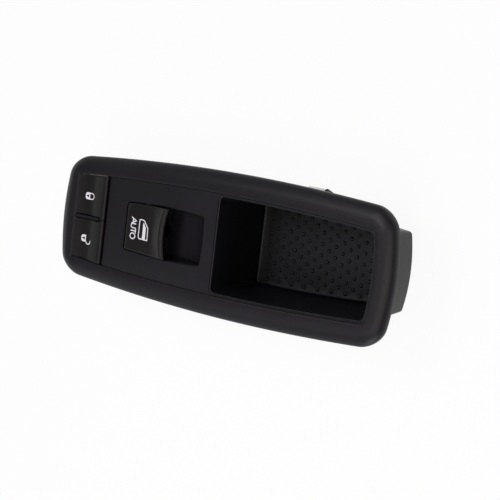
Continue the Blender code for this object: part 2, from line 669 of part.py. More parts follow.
def lock_key(name, side, look):
    """One key of the lock pair, hinged at its left end, with a post over its dome."""
    field = field_outline(KEY_LEFT_X)
    left = KEY_LEFT_X + RUN_GAP
    right = PANEL_LEFT_X - KEY_GAP

    profile = (
        (left, 0.15 * MM), (left + 1.6 * MM, 0.4 * MM), (left + 5 * MM, 0.75 * MM),
        (left + 9 * MM, 0.55 * MM), (right - 5 * MM, -0.4 * MM), (right - 1.3 * MM, -KEY_CREST),
        (right - 0.45 * MM, -KEY_CREST + 0.15 * MM),
        (right - 0.05 * MM, -0.4 * MM), (right, 0.3 * MM), (right, KEY_WALL + KEY_NOSE),
        (right - 1.6 * MM, KEY_WALL + KEY_NOSE), (right - 1.8 * MM, KEY_WALL - 0.6 * MM),
        (right - 6 * MM, KEY_WALL), (left + 4.5 * MM, KEY_WALL + 1 * MM), (left, KEY_WALL + 1.2 * MM),
    )
    near = PART_GAP * 0.6
    top_points = 8
    sections = []
    for share, ease in ((0.0, 0.2), (0.03, 0.0), (0.35, 0.0), (0.7, 0.0), (0.97, 0.0), (1.0, 0.25)):
        section = []
        for i, (x, drop) in enumerate(profile):
            far = field.half_at(x) - RUN_GAP
            eased = drop + ease * MM if i < top_points else drop
            section.append(Vector((x, side * (near + share * (far - near)), height(eased))))
        sections.append(section)
    hinge_z = height(KEY_HINGE_DROP)
    origin = (KEY_HINGE_X, 0, hinge_z)
    key = node(name, loft(sections), look, origin)
    barrel_near = side * 3 * MM
    barrel_far = side * (field.half_at(KEY_HINGE_X) - 3.5 * MM)
    add(key, rod_y(KEY_HINGE_X, hinge_z, KEY_BARREL, barrel_near, barrel_far))
    arm = (
        (KEY_HINGE_X + 0.2 * MM, KEY_HINGE_DROP - 1.7 * MM), (left + 2.6 * MM, KEY_WALL - 0.4 * MM),
        (left + 2.6 * MM, KEY_WALL + 2.6 * MM), (KEY_HINGE_X + 0.2 * MM, KEY_HINGE_DROP + 1.5 * MM),
    )
    add(key, across([(x, height(drop)) for x, drop in arm], barrel_near, barrel_far))
    sole = BOARD_DROP - DOME_HEIGHT - 2 * PART_GAP
    post = ((KEY_POST_RADIUS, height(KEY_WALL - 0.5 * MM)), (KEY_POST_RADIUS, height(sole)))
    add(key, turned(post, (KEY_POST_X, side * KEY_POST_Y)))
    cut(key, rod_y(KEY_HINGE_X, hinge_z, KEY_PIN_RADIUS + PART_GAP, side * 1 * MM, barrel_far + side * MM))
    rib = rounded_bar(KEY_LEFT_X - 4 * MM, RIB_END_X + RIB_GAP, RIB_HALF + RIB_GAP)
    cut(key, upright(rib, height(KEY_WALL + 3.3 * MM), height(-2 * MM)))
    return key


def unit_outline():
    """The switch unit's case, whose long sides are as good as straight."""
    return Outline(UNIT_LEFT_X, UNIT_RIGHT_X, UNIT_HALF_WIDTH, UNIT_CORNER, UNIT_SIDE_RADIUS, 0.0)


def few(outline, z, grow=0.0):
    """The loop of an outline with straight sides, which needs points at its corners alone."""
    return outline.loop(z, grow, long_steps=1, end_steps=1, corner_steps=2)


def switch_housing(look):
    """The unit's case: walls round a deck, pivot blocks, hinge blocks, and ears for the screws."""
    outline = unit_outline()
    top = FLANGE_TOP + FLANGE_WALL + PART_GAP
    block_top = height(PANEL_WALL + 2 * PART_GAP)
    walls = [few(outline, height(top)), few(outline, height(UNIT_DEPTH))]
    housing = node("switch_housing", loft(walls), look)
    cut(housing, loft([
        few(outline, height(top - 1 * MM), -UNIT_WALL), few(outline, height(DECK_DROP), -UNIT_WALL)
    ]))
    rim_drop = KEY_WALL + KEY_NOSE + KEY_TRAVEL + 2 * PART_GAP
    reach = UNIT_HALF_WIDTH + 1 * MM
    cut(housing, block(
        (KEY_LEFT_X, PANEL_LEFT_X), (-reach, reach), (height(rim_drop), height(top - 1 * MM))
    ))
    deck_low = DECK_DROP + DECK_WALL
    cut(housing, loft([
        few(outline, height(deck_low), -UNIT_WALL), few(outline, height(UNIT_DEPTH + 1 * MM), -UNIT_WALL)
    ]))
    pivot_near = rocker_outline().half_at(PIVOT_X) + 0.2 * MM
    key_near = field_outline(KEY_LEFT_X).half_at(KEY_HINGE_X) - 3 * MM
    hinge_span = (UNIT_LEFT_X + UNIT_WALL / 2, KEY_LEFT_X)
    low = height(DECK_DROP + DECK_WALL / 2)
    for side in (1, -1):
        wall = side * (UNIT_HALF_WIDTH - UNIT_WALL / 2)
        add(housing, block(
            (PIVOT_X - 4 * MM, PIVOT_X + 4 * MM), (side * pivot_near, wall), (low, block_top)
        ))
        add(housing, block(hinge_span, (side * key_near, wall), (low, block_top)))
    add(housing, block(hinge_span, (-2.4 * MM, 2.4 * MM), (low, block_top)))
    for x, y in screw_places():
        side = math.copysign(1, y)
        reach = abs(y) + BOSS_RADIUS
        ear = [
            (x + a * BOSS_RADIUS * 1.2, side * b)
            for a, b in ((-1, UNIT_HALF_WIDTH - UNIT_WALL / 2), (1, UNIT_HALF_WIDTH - UNIT_WALL / 2),
                         (1, reach - 1 * MM), (0.5, reach), (-0.5, reach), (-1, reach - 1 * MM))
        ]
        ear_top = BOSS_DROP + PART_GAP
        add(housing, upright(ear, height(ear_top + EAR_WALL), height(ear_top)))
        hole = SCREW_RADIUS + 2 * PART_GAP
        drill = ((hole, height(ear_top + EAR_WALL + 1 * MM)), (hole, height(ear_top - 0.2 * MM)))
        cut(housing, turned(drill, (x, y)))
    pivot_reach = pivot_near + 2.6 * MM
    cut(housing, rod_y(PIVOT_X, height(PIVOT_DROP), PIVOT_RADIUS + PART_GAP, -pivot_reach, pivot_reach))
    pin_reach = key_near + 2.4 * MM
    pin_bore = KEY_PIN_RADIUS + PART_GAP
    cut(housing, rod_y(KEY_HINGE_X, height(KEY_HINGE_DROP), pin_bore, -pin_reach, pin_reach))
    for x in TAB_XS:
        for side in (1, -1):
            barb = (
                (UNIT_HALF_WIDTH - 0.6 * MM, BARB_LOW), (UNIT_HALF_WIDTH + 0.3 * MM, BARB_LOW),
                (UNIT_HALF_WIDTH + 1.2 * MM, BARB_HIGH - 0.3 * MM), (UNIT_HALF_WIDTH + 1.2 * MM, BARB_HIGH),
                (UNIT_HALF_WIDTH - 0.6 * MM, BARB_HIGH),
            )
            profile = [(side * y, height(UNIT_DEPTH - rise)) for y, rise in barb]
            add(housing, along(profile, x - BARB_WIDTH / 2, x + BARB_WIDTH / 2))
    slot = FOOT_REACH + FOOT_WIDTH / 2 + 1.7 * MM
    through = (height(deck_low + 1 * MM), height(DECK_DROP - 1 * MM))
    cut(housing, block((PIVOT_X - slot, PIVOT_X + slot), (-3.4 * MM, 3.4 * MM), through))
    for side in (1, -1):
        hole = KEY_POST_RADIUS + 1.3 * MM
        drill = ((hole, through[0]), (hole, through[1]))
        cut(housing, turned(drill, (KEY_POST_X, side * KEY_POST_Y)))
    return housing


def housing_cover(look):
    """The plate that closes the unit from below, with posts under the board and a connector window."""
    outline = unit_outline()
    top = height(UNIT_DEPTH + PART_GAP)
    cover = node("housing_cover", loft([
        few(outline, top), few(outline, top - COVER_WALL + 0.4 * MM),
        few(outline, top - COVER_WALL, -0.4 * MM),
    ]), look)
    board_low = height(BOARD_DROP + BOARD_WALL + PART_GAP)
    for x in (UNIT_LEFT_X + 7 * MM, PIVOT_X + 3 * MM, UNIT_RIGHT_X - 5 * MM):
        for side in (1, -1):
            post = ((1.8 * MM, top - 0.5 * MM), (1.5 * MM, board_low))
            add(cover, turned(post, (x, side * (UNIT_HALF_WIDTH - UNIT_WALL - 3.5 * MM))))
    half_x = CONNECTOR_LENGTH / 2 + PART_GAP
    half_y = CONNECTOR_WIDTH / 2 + PART_GAP
    window = (top - COVER_WALL - 1 * MM, top + 1 * MM)
    cut(cover, block((CONNECTOR_X - half_x, CONNECTOR_X + half_x), (-half_y, half_y), window))
    low = top - COVER_WALL
    for side in (1, -1):
        rib_y = side * UNIT_HALF_WIDTH * 0.45
        rib_x = (UNIT_LEFT_X + 9 * MM, CONNECTOR_X - half_x - 4 * MM)
        add(cover, block(rib_x, (rib_y - 0.6 * MM, rib_y + 0.6 * MM), (low - COVER_RIB, low + 0.5 * MM)))
    for x in TAB_XS:
        for side in (1, -1):
            snap_tab(cover, x, side, top)
    return cover


def snap_tab(cover, x, side, top):
    """An arm of the cover up the housing's side, with a window that catches the housing's barb."""
    inner = UNIT_HALF_WIDTH + PART_GAP
    outer = inner + TAB_WALL
    crest = height(UNIT_DEPTH - TAB_RISE)
    foot = top - COVER_WALL + 0.5 * MM
    arm = (
        (UNIT_HALF_WIDTH - 1 * MM, foot), (outer, foot), (outer, crest), (inner, crest),
        (inner, top - 0.2 * MM), (UNIT_HALF_WIDTH - 1 * MM, top - 0.2 * MM),
    )
    profile = [(side * y, z) for y, z in arm]
    add(cover, along(profile, x - TAB_WIDTH / 2, x + TAB_WIDTH / 2))
    half = BARB_WIDTH / 2 + PART_GAP
    window = (height(UNIT_DEPTH - BARB_LOW + PART_GAP), height(UNIT_DEPTH - BARB_HIGH - PART_GAP))
    cut(cover, block((x - half, x + half), (side * (inner - 0.5 * MM), side * (outer + 0.5 * MM)), window))


def pin_places():
    start = CONNECTOR_X - PIN_PITCH * (PIN_COLUMNS - 1) / 2
    return [
        (start + PIN_PITCH * column, side * PIN_ROW_Y) for side in (1, -1) for column in range(PIN_COLUMNS)
    ]


def circuit_board(look):
    outline = unit_outline()
    inset = -UNIT_WALL - BOARD_MARGIN
    board = node("circuit_board", loft([
        few(outline, height(BOARD_DROP), inset), few(outline, height(BOARD_DROP + BOARD_WALL), inset)
    ]), look)
    hole = PIN_SIDE * math.sqrt(0.5) + PART_GAP
    for place in pin_places():
        drill = ((hole, height(BOARD_DROP - 1 * MM)), (hole, height(BOARD_DROP + BOARD_WALL + 1 * MM)))
        cut(board, turned(drill, place, 8))
    return board


def connector_header(look):
    """The socket that the car's plug enters from below, with its pins' holes."""
    top = height(BOARD_DROP + BOARD_WALL + PART_GAP)
    half_x = CONNECTOR_LENGTH / 2
    half_y = CONNECTOR_WIDTH / 2
    header = node("connector_header", block(
        (CONNECTOR_X - half_x, CONNECTOR_X + half_x), (-half_y, half_y), (0, top)
    ), look)
    inner_x = half_x - CONNECTOR_WALL
    inner_y = half_y - CONNECTOR_WALL
    socket_top = top - CONNECTOR_WEB
    cut(header, block(
        (CONNECTOR_X - inner_x, CONNECTOR_X + inner_x), (-inner_y, inner_y), (-1 * MM, socket_top)
    ))
    key_slot = 1.6 * MM
    slot_span = (CONNECTOR_X - key_slot, CONNECTOR_X + key_slot)
    cut(header, block(slot_span, (inner_y - 1 * MM, half_y + 1 * MM), (-1 * MM, 6 * MM)))
    hole = PIN_SIDE * math.sqrt(0.5) + PART_GAP
    for place in pin_places():
        cut(header, turned(((hole, socket_top - 1 * MM), (hole, top + 1 * MM)), place, 8))
    return header


def terminal_pin(name, place, look):
    """A square pin with a drawn-in tip."""
    half = PIN_SIDE / 2
    top = height(BOARD_DROP) + 1.5 * MM

    def square(size, z):
        x, y = place
        return [Vector((x + a * size, y + b * size, z)) for a, b in ((-1, -1), (1, -1), (1, 1), (-1, 1))]

    loops = [square(half * 0.4, PIN_RECESS), square(half, PIN_RECESS + 1 * MM), square(half, top)]
    return node(name, loft(loops), look)


def rubber_dome(name, place, look):
    """A silicone dome on the board: it carries the contact and pushes the key back."""
    low = height(BOARD_DROP) + PART_GAP
    profile = (
        (DOME_RADIUS * 0.55, low + DOME_HEIGHT * 0.5), (DOME_RADIUS * 0.75, low), (DOME_RADIUS, low),
        (DOME_RADIUS, low + 0.6 * MM), (DOME_RADIUS * 0.8, low + 0.7 * MM),
        (DOME_RADIUS * 0.5, low + DOME_HEIGHT - 0.9 * MM), (DOME_RADIUS * 0.5, low + DOME_HEIGHT),
    )
    return node(name, turned(profile, place), look)


def led(name, place, look):
    x, y = place
    low = height(BOARD_DROP) + PART_GAP
    body = block((x - 1.6 * MM, x + 1.6 * MM), (y - 1.1 * MM, y + 1.1 * MM), (low, low + 1.5 * MM))
    return node(name, body, look)


def screw(name, place, look):
    """A pan-head screw from below, through an ear of the housing into a boss of the panel."""
    seat = BOSS_DROP + 2 * PART_GAP + EAR_WALL
    tip = FLANGE_TOP + 0.7 * MM + PART_GAP
    profile = (
        (SCREW_HEAD_RADIUS * 0.7, height(seat + SCREW_HEAD_HEIGHT)),
        (SCREW_HEAD_RADIUS, height(seat + SCREW_HEAD_HEIGHT * 0.6)), (SCREW_HEAD_RADIUS, height(seat)),
        (SCREW_RADIUS, height(seat)), (SCREW_RADIUS, height(tip + 0.8 * MM)),
        (SCREW_RADIUS * 0.3, height(tip)),
    )
    return node(name, turned(profile, place), look)


def build():
    for old in list(bpy.data.objects):
        bpy.data.objects.remove(old)
    bezel_look = material("bezel_plastic", (0.022, 0.021, 0.025), 0.5)
    panel_look = material("panel_plastic", (0.018, 0.017, 0.021), 0.55)
    knob_look = material("knob_plastic", (0.028, 0.025, 0.026), 0.45)
    mat_look = material("mat_rubber", (0.016, 0.016, 0.019), 0.7)
    case_look = material("case_plastic", (0.03, 0.03, 0.032), 0.4)
    cover_look = material("cover_plastic", (0.05, 0.05, 0.055), 0.45)
    board_look = material("board", (0.02, 0.12, 0.05), 0.4)
    header_look = material("header_plastic", (0.6, 0.58, 0.52), 0.5)
    rubber_look = material("silicone", (0.5, 0.5, 0.48), 0.6)
    steel_look = material("spring_steel", (0.62, 0.62, 0.6), 0.3, 1.0)
    tin_look = material("tinned_brass", (0.75, 0.68, 0.45), 0.35, 1.0)
    led_look = material("led", (0.85, 0.85, 0.8), 0.3)

    bezel_frame(bezel_look)
    centre_panel(panel_look)
    tray_mat(mat_look)
    window_rocker(knob_look)
    lock_key("lock_button", 1, knob_look)
    lock_key("unlock_button", -1, knob_look)
    switch_housing(case_look)
    housing_cover(cover_look)
    circuit_board(board_look)
    connector_header(header_look)
    for number, place in enumerate(pin_places(), 1):
        terminal_pin(f"terminal_pin_{number}", place, tin_look)

    pivot_reach = rocker_outline().half_at(PIVOT_X) + 2.4 * MM
    pivot_rod = rod_y(PIVOT_X, height(PIVOT_DROP), PIVOT_RADIUS, -pivot_reach, pivot_reach)
    node("rocker_pivot_pin", pivot_rod, steel_look)
    pin_reach = field_outline(KEY_LEFT_X).half_at(KEY_HINGE_X) - 1 * MM
    key_rod = rod_y(KEY_HINGE_X, height(KEY_HINGE_DROP), KEY_PIN_RADIUS, -pin_reach, pin_reach, 12)
    node("key_hinge_pin", key_rod, steel_look)

    rubber_dome("window_up_dome", (PIVOT_X - FOOT_REACH, 0), rubber_look)
    rubber_dome("window_down_dome", (PIVOT_X + FOOT_REACH, 0), rubber_look)
    rubber_dome("lock_dome", (KEY_POST_X, KEY_POST_Y), rubber_look)
    rubber_dome("unlock_dome", (KEY_POST_X, -KEY_POST_Y), rubber_look)
    led("lock_led", (LED_X, KEY_POST_Y), led_look)
    led("unlock_led", (LED_X, -KEY_POST_Y), led_look)
    led("window_led", (PIVOT_X, 7 * MM), led_look)

    for number, place in enumerate(screw_places(), 1):
        screw(f"housing_screw_{number}", place, steel_look)
    spring_clip("spring_clip_upper", 1, steel_look)
    spring_clip("spring_clip_lower", -1, steel_look)


build()
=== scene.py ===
"""Looks of the power window switch panel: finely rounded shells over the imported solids, painted
markings, moulded-plastic, rubber and metal finishes, and the photograph's camera and light.

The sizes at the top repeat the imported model's. All lengths are in metres.
"""

import math

import bmesh
import bpy
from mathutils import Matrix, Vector

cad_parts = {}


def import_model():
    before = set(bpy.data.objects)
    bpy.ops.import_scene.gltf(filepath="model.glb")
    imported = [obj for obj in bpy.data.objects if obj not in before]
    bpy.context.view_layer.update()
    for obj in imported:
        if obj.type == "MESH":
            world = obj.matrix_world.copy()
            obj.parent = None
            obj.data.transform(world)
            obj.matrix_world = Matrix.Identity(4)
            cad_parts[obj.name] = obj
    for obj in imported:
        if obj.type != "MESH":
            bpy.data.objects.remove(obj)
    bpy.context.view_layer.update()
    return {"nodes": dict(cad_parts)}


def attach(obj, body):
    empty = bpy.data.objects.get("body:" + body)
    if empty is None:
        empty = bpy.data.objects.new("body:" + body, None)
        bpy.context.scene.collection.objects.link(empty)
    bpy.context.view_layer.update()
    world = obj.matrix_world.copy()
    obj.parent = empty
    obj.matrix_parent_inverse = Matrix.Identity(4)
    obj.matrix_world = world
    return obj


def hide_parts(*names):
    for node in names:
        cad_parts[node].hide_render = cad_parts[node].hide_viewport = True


MM = 0.001

RUN_GAP = 0.35 * MM
PART_GAP = 0.3 * MM
SKIN_INSET = 0.02 * MM
LEAST_CORNER = 0.4 * MM

BEZEL_LENGTH = 189 * MM
BEZEL_HALF_WIDTH = 33.7 * MM
BEZEL_CORNER = 10 * MM
BEZEL_LEFT_CORNER = 10.2 * MM
BEZEL_SIDE_RADIUS = 1050 * MM
BEZEL_MID_X = 11.5 * MM
END_RADIUS = 115 * MM
BEZEL_WALL = 2.2 * MM
BEZEL_DROP = 5.6 * MM
BEZEL_CROWN = 0.45 * MM
SIDE_BORDER = 10.2 * MM
SKIRT_DROP = 7.4 * MM
SKIRT_WALL = 1.3 * MM

FIELD_HALF_WIDTH = 23.5 * MM
FIELD_RIGHT_X = 85.3 * MM
FIELD_SIDE_RADIUS = 1150 * MM
FIELD_MID_X = 2.5 * MM
FIELD_CORNER = 3.2 * MM
FIELD_LEFT_CORNER = 0.6 * MM
KEY_LEFT_X = -85 * MM
PANEL_LEFT_X = -65.2 * MM
PANEL_WALL = 2.6 * MM
SEAM_GAP = 0.17 * MM
SEAM_ROUND = 0.12 * MM
SEAM_DEPTH = 0.4 * MM
SEAM_FOOT = 0.04 * MM
FLANGE_REACH = 3.8 * MM
FLANGE_TOP = 2.4 * MM
FLANGE_WALL = 1.7 * MM

ROCKER_LEFT_X = -53.6 * MM
ROCKER_RIGHT_X = -7.1 * MM
ROCKER_HALF_WIDTH = 12.35 * MM
ROCKER_MID_X = -28.49 * MM
ROCKER_SIDE_RADIUS = 360 * MM
ROCKER_CORNER = 1.6 * MM
KNOB_GAP = 0.55 * MM
KNOB_LIP_X = -28.49 * MM
KNOB_LIP_HOLLOW = 1.7 * MM
KNOB_LIP_HEIGHT = 2.9 * MM
KNOB_FRONT_X = -35.29 * MM
KNOB_SKIN = 2.4 * MM
KNOB_CORNER = MM
KNOB_SIDE_START = 0.94
KNOB_SIDE_DROP = 0.35 * MM
KNOB_BACK_POINTS = 3
KNOB_LIP_POINTS = 4
PIVOT_X = -44.1 * MM
PIVOT_DROP = 4.5 * MM
PIVOT_RADIUS = 1.35 * MM
CHEEK_WALL = 2 * MM
CHEEK_HALF = 9.6 * MM
SCOOP_LEFT_X = -32.79 * MM
SCOOP_DEPTH = 8.3 * MM
SCOOP_WALL = 1.5 * MM

TRAY_LEFT_X = 0.05 * MM
TRAY_EDGE = 1.3 * MM
TRAY_ROUND = 0.65 * MM
TRAY_DEPTH = 34 * MM
TRAY_CORNER = 2.2 * MM
TRAY_WALL = 2 * MM
TRAY_END_WALL = 2.7 * MM
TRAY_BOX_CORNER = 1.5 * MM
TRAY_BOX_END_RADIUS = 80 * MM
TRAY_FLOOR_WALL = 1.8 * MM
TRAY_DRAFT_LEFT = 1.45 * MM
TRAY_DRAFT_RIGHT = 4.2 * MM
TRAY_FLOOR_HALF_WIDTH = 19.5 * MM
TRAY_FLOOR_SIDE_RADIUS = 720 * MM
TRAY_MID_X = 7.5 * MM
MAT_WALL = 1.2 * MM
MAT_GAP = 0.4 * MM
STUD_RADIUS = 0.95 * MM
STUD_HEIGHT = 0.7 * MM
STUD_MARGIN = 6.2 * MM
STUD_END_MARGIN = 3 * MM
STUD_PITCH = 3.46 * MM
STUD_STRETCH = 1.0105
STUD_ROWS = 3
STUD_SHARE = 0.28

KEY_GAP = 1.05 * MM
KEY_START_X = KEY_LEFT_X + RUN_GAP
KEY_END_X = PANEL_LEFT_X - KEY_GAP
KEY_WALL = 2.2 * MM
KEY_HINGE_X = -86.6 * MM
KEY_HINGE_DROP = 5.2 * MM
KEY_BARREL = 1.6 * MM
KEY_PIN_RADIUS = 0.75 * MM
KEY_CREST = MM
KEY_NOSE = 2.6 * MM
KEY_POST_X = -72.5 * MM
KEY_POST_Y = 10.5 * MM
KEY_POST_RADIUS = 1.3 * MM
KEY_SIDE_SLACK = 0.08 * MM
KEY_SIDE_SHARE = 0.012
KEY_SIDE_DROP = 0.15 * MM
KEY_SIDE_WALL = 0.9 * MM
KEY_TRAVEL_GAP = 2.6 * MM
GAP_PLATE_WALL = 0.8 * MM
RIB_END_X = -69.8 * MM
RIB_HALF = 0.7 * MM
RIB_GAP = 0.55 * MM
RIB_ROUND = 0.12 * MM
FILLER_LENGTH = 5.5 * MM

BOARD_DROP = 19 * MM
DOME_HEIGHT = 3.7 * MM
SOLE_DROP = BOARD_DROP - DOME_HEIGHT - 2 * PART_GAP
FOOT_REACH = 5.5 * MM
FOOT_WIDTH = 3 * MM

SCREW_XS = (-58.5 * MM, -10.5 * MM)
SCREW_RADIUS = MM
SCREW_HEAD_RADIUS = 2.6 * MM
SCREW_HEAD_HEIGHT = 1.9 * MM
BOSS_RADIUS = 2.3 * MM
BOSS_DROP = 7.5 * MM
EAR_WALL = 1.6 * MM
HOOK_XS = (-45.1 * MM, 13.5 * MM, 69.5 * MM)
HOOK_WIDTH = 7 * MM
CLIP_X = 44.5 * MM
CLIP_WIDTH = 9 * MM
CLIP_CREST_Y = 33.1 * MM
CLIP_CREST_DROP = 11.5 * MM
CLIP_METAL = 0.6 * MM
CHEEK_TIPS = {1: (0, 1.6 * MM), -1: (1.5 * MM, 1.6 * MM)}
TOWER_WALL = 1.6 * MM
TOWER_DROP = 18.5 * MM

FACE_Z = TRAY_DEPTH + MAT_WALL + PART_GAP + TRAY_FLOOR_WALL

# Painted markings: film, line widths, and how far each layer lies over the surface
FILM = 0.06 * MM
LINE_WIDTH = 0.5 * MM
LETTER_WIDTH = 0.52 * MM
LIFT = 0.02 * MM
PADLOCK_HALF_LENGTH = 1.45 * MM
PADLOCK_HALF_WIDTH = 1.72 * MM
LOCK_MARK_PLACE = (-78.8 * MM, 10.2 * MM)
UNLOCK_MARK_PLACE = (-78.75 * MM, -10.35 * MM)

CAMERA_PLACE = (444.41 * MM, 98.69 * MM, 645.35 * MM)
CAMERA_TURN = (-2.67, 35.525, 8.382)
CAMERA_LENS = 120

# Each lamp's name, its bearing from +X and its rise over the floor in degrees, its watts and its colour
LAMPS = (
    ("right", 0, 62, 1.35, (1, 0.87, 0.82)),
    ("behind", 120, 68, 2.6, (0.98, 0.95, 1)),
    ("front_right", 300, 62, 1.1, (1, 0.95, 0.93)),
    ("front", 240, 62, 0.6, (0.97, 0.94, 1)),
    ("left", 218, 42, 0.35, (0.97, 0.94, 1)),
    ("low_front", 285, 20, 2.0, (1, 1, 1)),
    ("low_behind", 60, 10, 0.5, (1, 1, 1)),
)
LAMP_SIZE = 0.35
LAMP_REACH = 0.8
LAMP_AIM_Z = 30 * MM
WORLD_STRENGTH = 0.12
FLOOR_GLOW = 0.93
FLOOR_RADIUS = 2.4
SWEEP_RADIUS = 0.8
FLOOR_SINK = 0.05 * MM

# Steps along the outlines of the rocker's opening and the scoop
SMALL = {"long_steps": 30, "end_steps": 16, "corner_steps": 8}

# Each piece's angle of sharp edges in degrees, its body, material slot and the node it stands for
PLANS = {}


def height(drop):
    """The Z of a level this far under the field's face."""
    return FACE_Z - drop


class Outline:
    """A rounded rectangle seen from above, with long sides that bow about mid and ends that may bow."""

    def __init__(
        self, left, right, half, corner, side_radius, mid, bow_left=None, bow_right=END_RADIUS,
        corner_left=None,
    ):
        self.left, self.right, self.half = left, right, half
        self.corner = corner
        self.corner_left = corner if corner_left is None else corner_left
        self.side_radius, self.mid = side_radius, mid
        self.bow_left, self.bow_right = bow_left, bow_right

    def half_at(self, x, grow=0.0):
        """Half of its width at this x."""
        return self.half + grow - (x - self.mid) ** 2 / (2 * self.side_radius)

    def loop(self, z, grow=0.0, left=None, right=None, long_steps=54, end_steps=20, corner_steps=10):
        """Its points at height z, grown sideways by grow, anticlockwise from the right end."""
        left = self.left - grow if left is None else left
        right = self.right + grow if right is None else right
        half = self.half + grow
        near = max(self.corner_left + grow, LEAST_CORNER)
        far = max(self.corner + grow, LEAST_CORNER)
        centres = (
            (right - far, half - far, far), (left + near, half - near, near),
            (left + near, near - half, near), (right - far, far - half, far),
        )
        bends = []
        for number, (x, y, radius) in enumerate(centres):
            turns = [math.pi / 2 * (number + step / corner_steps) for step in range(corner_steps + 1)]
            bends.append([Vector((x + radius * math.cos(a), y + radius * math.sin(a))) for a in turns])
        flat = []
        for number, bend in enumerate(bends):
            steps = end_steps if number % 2 else long_steps
            following = bends[(number + 1) % 4][0]
            flat += bend + [bend[-1].lerp(following, step / steps) for step in range(1, steps)]
        return [self.bowed(point, z, grow, left, right) for point in flat]

    def bowed(self, point, z, grow, left, right):
        """A point of the plain rounded rectangle, moved onto the bowed sides and ends."""
        share = (point.x - (left + right) / 2) / ((right - left) / 2)
        radius = self.bow_right if share > 0 else self.bow_left
        y = point.y * self.half_at(point.x, grow) / (self.half + grow)
        x = point.x - share * y * y / (2 * radius) if radius else point.x
        return Vector((x, y, z))


def smooth_line(points, steps):
    """A smooth line through the points, with this many steps between each two (centripetal spline)."""
    points = [Vector(point) for point in points]
    padded = [points[0] * 2 - points[1], *points, points[-1] * 2 - points[-2]]
    line = []
    for i in range(len(points) - 1):
        p = padded[i:i + 4]
        knots = [0.0]
        for a, b in zip(p, p[1:]):
            knots.append(knots[-1] + max((b - a).length, 1e-7) ** 0.5)
        for step in range(steps):
            t = knots[1] + (knots[2] - knots[1]) * step / steps
            line.append(spline_point(p, knots, t))
    return [*line, points[-1]]


def spline_point(points, knots, t):
    """The point at t on the spline between the middle two of four points."""
    row = points
    for spans in (((0, 1), (1, 2), (2, 3)), ((0, 2), (1, 3)), ((1, 2),)):
        row = [
            a.lerp(b, (t - knots[low]) / (knots[high] - knots[low]))
            for a, b, (low, high) in zip(row, row[1:], spans)
        ]
    return row[0]


def loft(loops, ring=False, skin=None):
    """A closed skin over loops of equal length. A ring's last loop joins its first, and others get caps."""
    if skin is None:
        skin = bmesh.new()
    rows = [[skin.verts.new(point) for point in loop] for loop in loops]
    count = len(rows[0])
    made = []
    for lower, upper in zip(rows, rows[1:] + rows[:1] if ring else rows[1:]):
        for i in range(count):
            j = (i + 1) % count
            made.append(skin.faces.new((lower[i], lower[j], upper[j], upper[i])))
    if not ring:
        made.append(skin.faces.new(rows[0]))
        made.append(skin.faces.new(rows[-1]))
    bmesh.ops.recalc_face_normals(skin, faces=made)
    return skin


def across(profile, near, far):
    """A profile of (x, z) points, drawn out along Y."""
    return loft([[Vector((x, y, z)) for x, z in profile] for y in (near, far)])


def along(profile, near, far):
    """A profile of (y, z) points, drawn out along X."""
    return loft([[Vector((x, y, z)) for y, z in profile] for x in (near, far)])


def side_rail(side, start, length, steps, reaches, low, top, fall=0.0):
    """A bar beside the keys, at two reaches from the field's edge. Its top falls away along its length."""
    field = field_outline(KEY_LEFT_X)
    loops = []
    for step in range(steps + 1):
        share = step / steps
        x = start + length * share
        near, far = (side * (field.half_at(x) + reach) for reach in reaches)
        drops = ((near, low), (near, top + fall * share ** 2), (far, top + fall * share ** 2), (far, low))
        loops.append([Vector((x, y, height(drop))) for y, drop in drops])
    return loft(loops)


def lifted(points, z):
    """The (x, y) points at height z."""
    return [Vector((x, y, z)) for x, y in points]


def circle(radius, centre, steps=32):
    turns = [2 * math.pi * (step + 0.5) / steps for step in range(steps)]
    return [(centre[0] + radius * math.cos(a), centre[1] + radius * math.sin(a)) for a in turns]


def turned(profile, centre, steps=32, skin=None):
    """A profile of (radius, z) points, turned about an upright axis."""
    return loft([lifted(circle(radius, centre, steps), z) for radius, z in profile], skin=skin)


def rod_y(x, z, radius, near, far):
    """A round rod along Y."""
    return across(circle(radius, (x, z)), near, far)


def upright(profile, low, high):
    """A profile of (x, y) points, drawn out along Z."""
    return loft([lifted(profile, low), lifted(profile, high)])


def heights(points, side=1):
    """Pairs of a place and a drop as pairs of the place, on this side, and a Z."""
    return [(side * place, height(drop)) for place, drop in points]


def rounded_bar(left, right, half, steps=16):
    """The outline, in x and y, of a bar along X with a round right end."""
    turns = [math.pi * (step / steps - 0.5) for step in range(steps + 1)]
    end = [(right - half + half * math.cos(a), half * math.sin(a)) for a in turns]
    return [*end, (left, half), (left, -half)]


def placed(name, data):
    """A new object in the scene."""
    made = bpy.data.objects.new(name, data)
    bpy.context.collection.objects.link(made)
    return made


def mesh_of(name, skin):
    mesh = bpy.data.meshes.new(name)
    skin.to_mesh(mesh)
    skin.free()
    return mesh


def piece(name, skin, look, body, slot, node=None, angle=35):
    """The named mesh of a skin, riding on a body. With a node given, it stands for that node."""
    mesh = mesh_of(name, skin)
    mesh.materials.append(look)
    PLANS[name] = (angle, body, slot, node)
    return placed(name, mesh)


def shape(made, skin, operation):
    """Adds a skin to the object, or takes it away."""
    mesh = mesh_of(f"{made.name}_helper", skin)
    helper = placed(mesh.name, mesh)
    modifier = made.modifiers.new(helper.name, "BOOLEAN")
    modifier.operation = operation
    modifier.object = helper


def add(made, skin):
    shape(made, skin, "UNION")


def cut(made, skin):
    shape(made, skin, "DIFFERENCE")


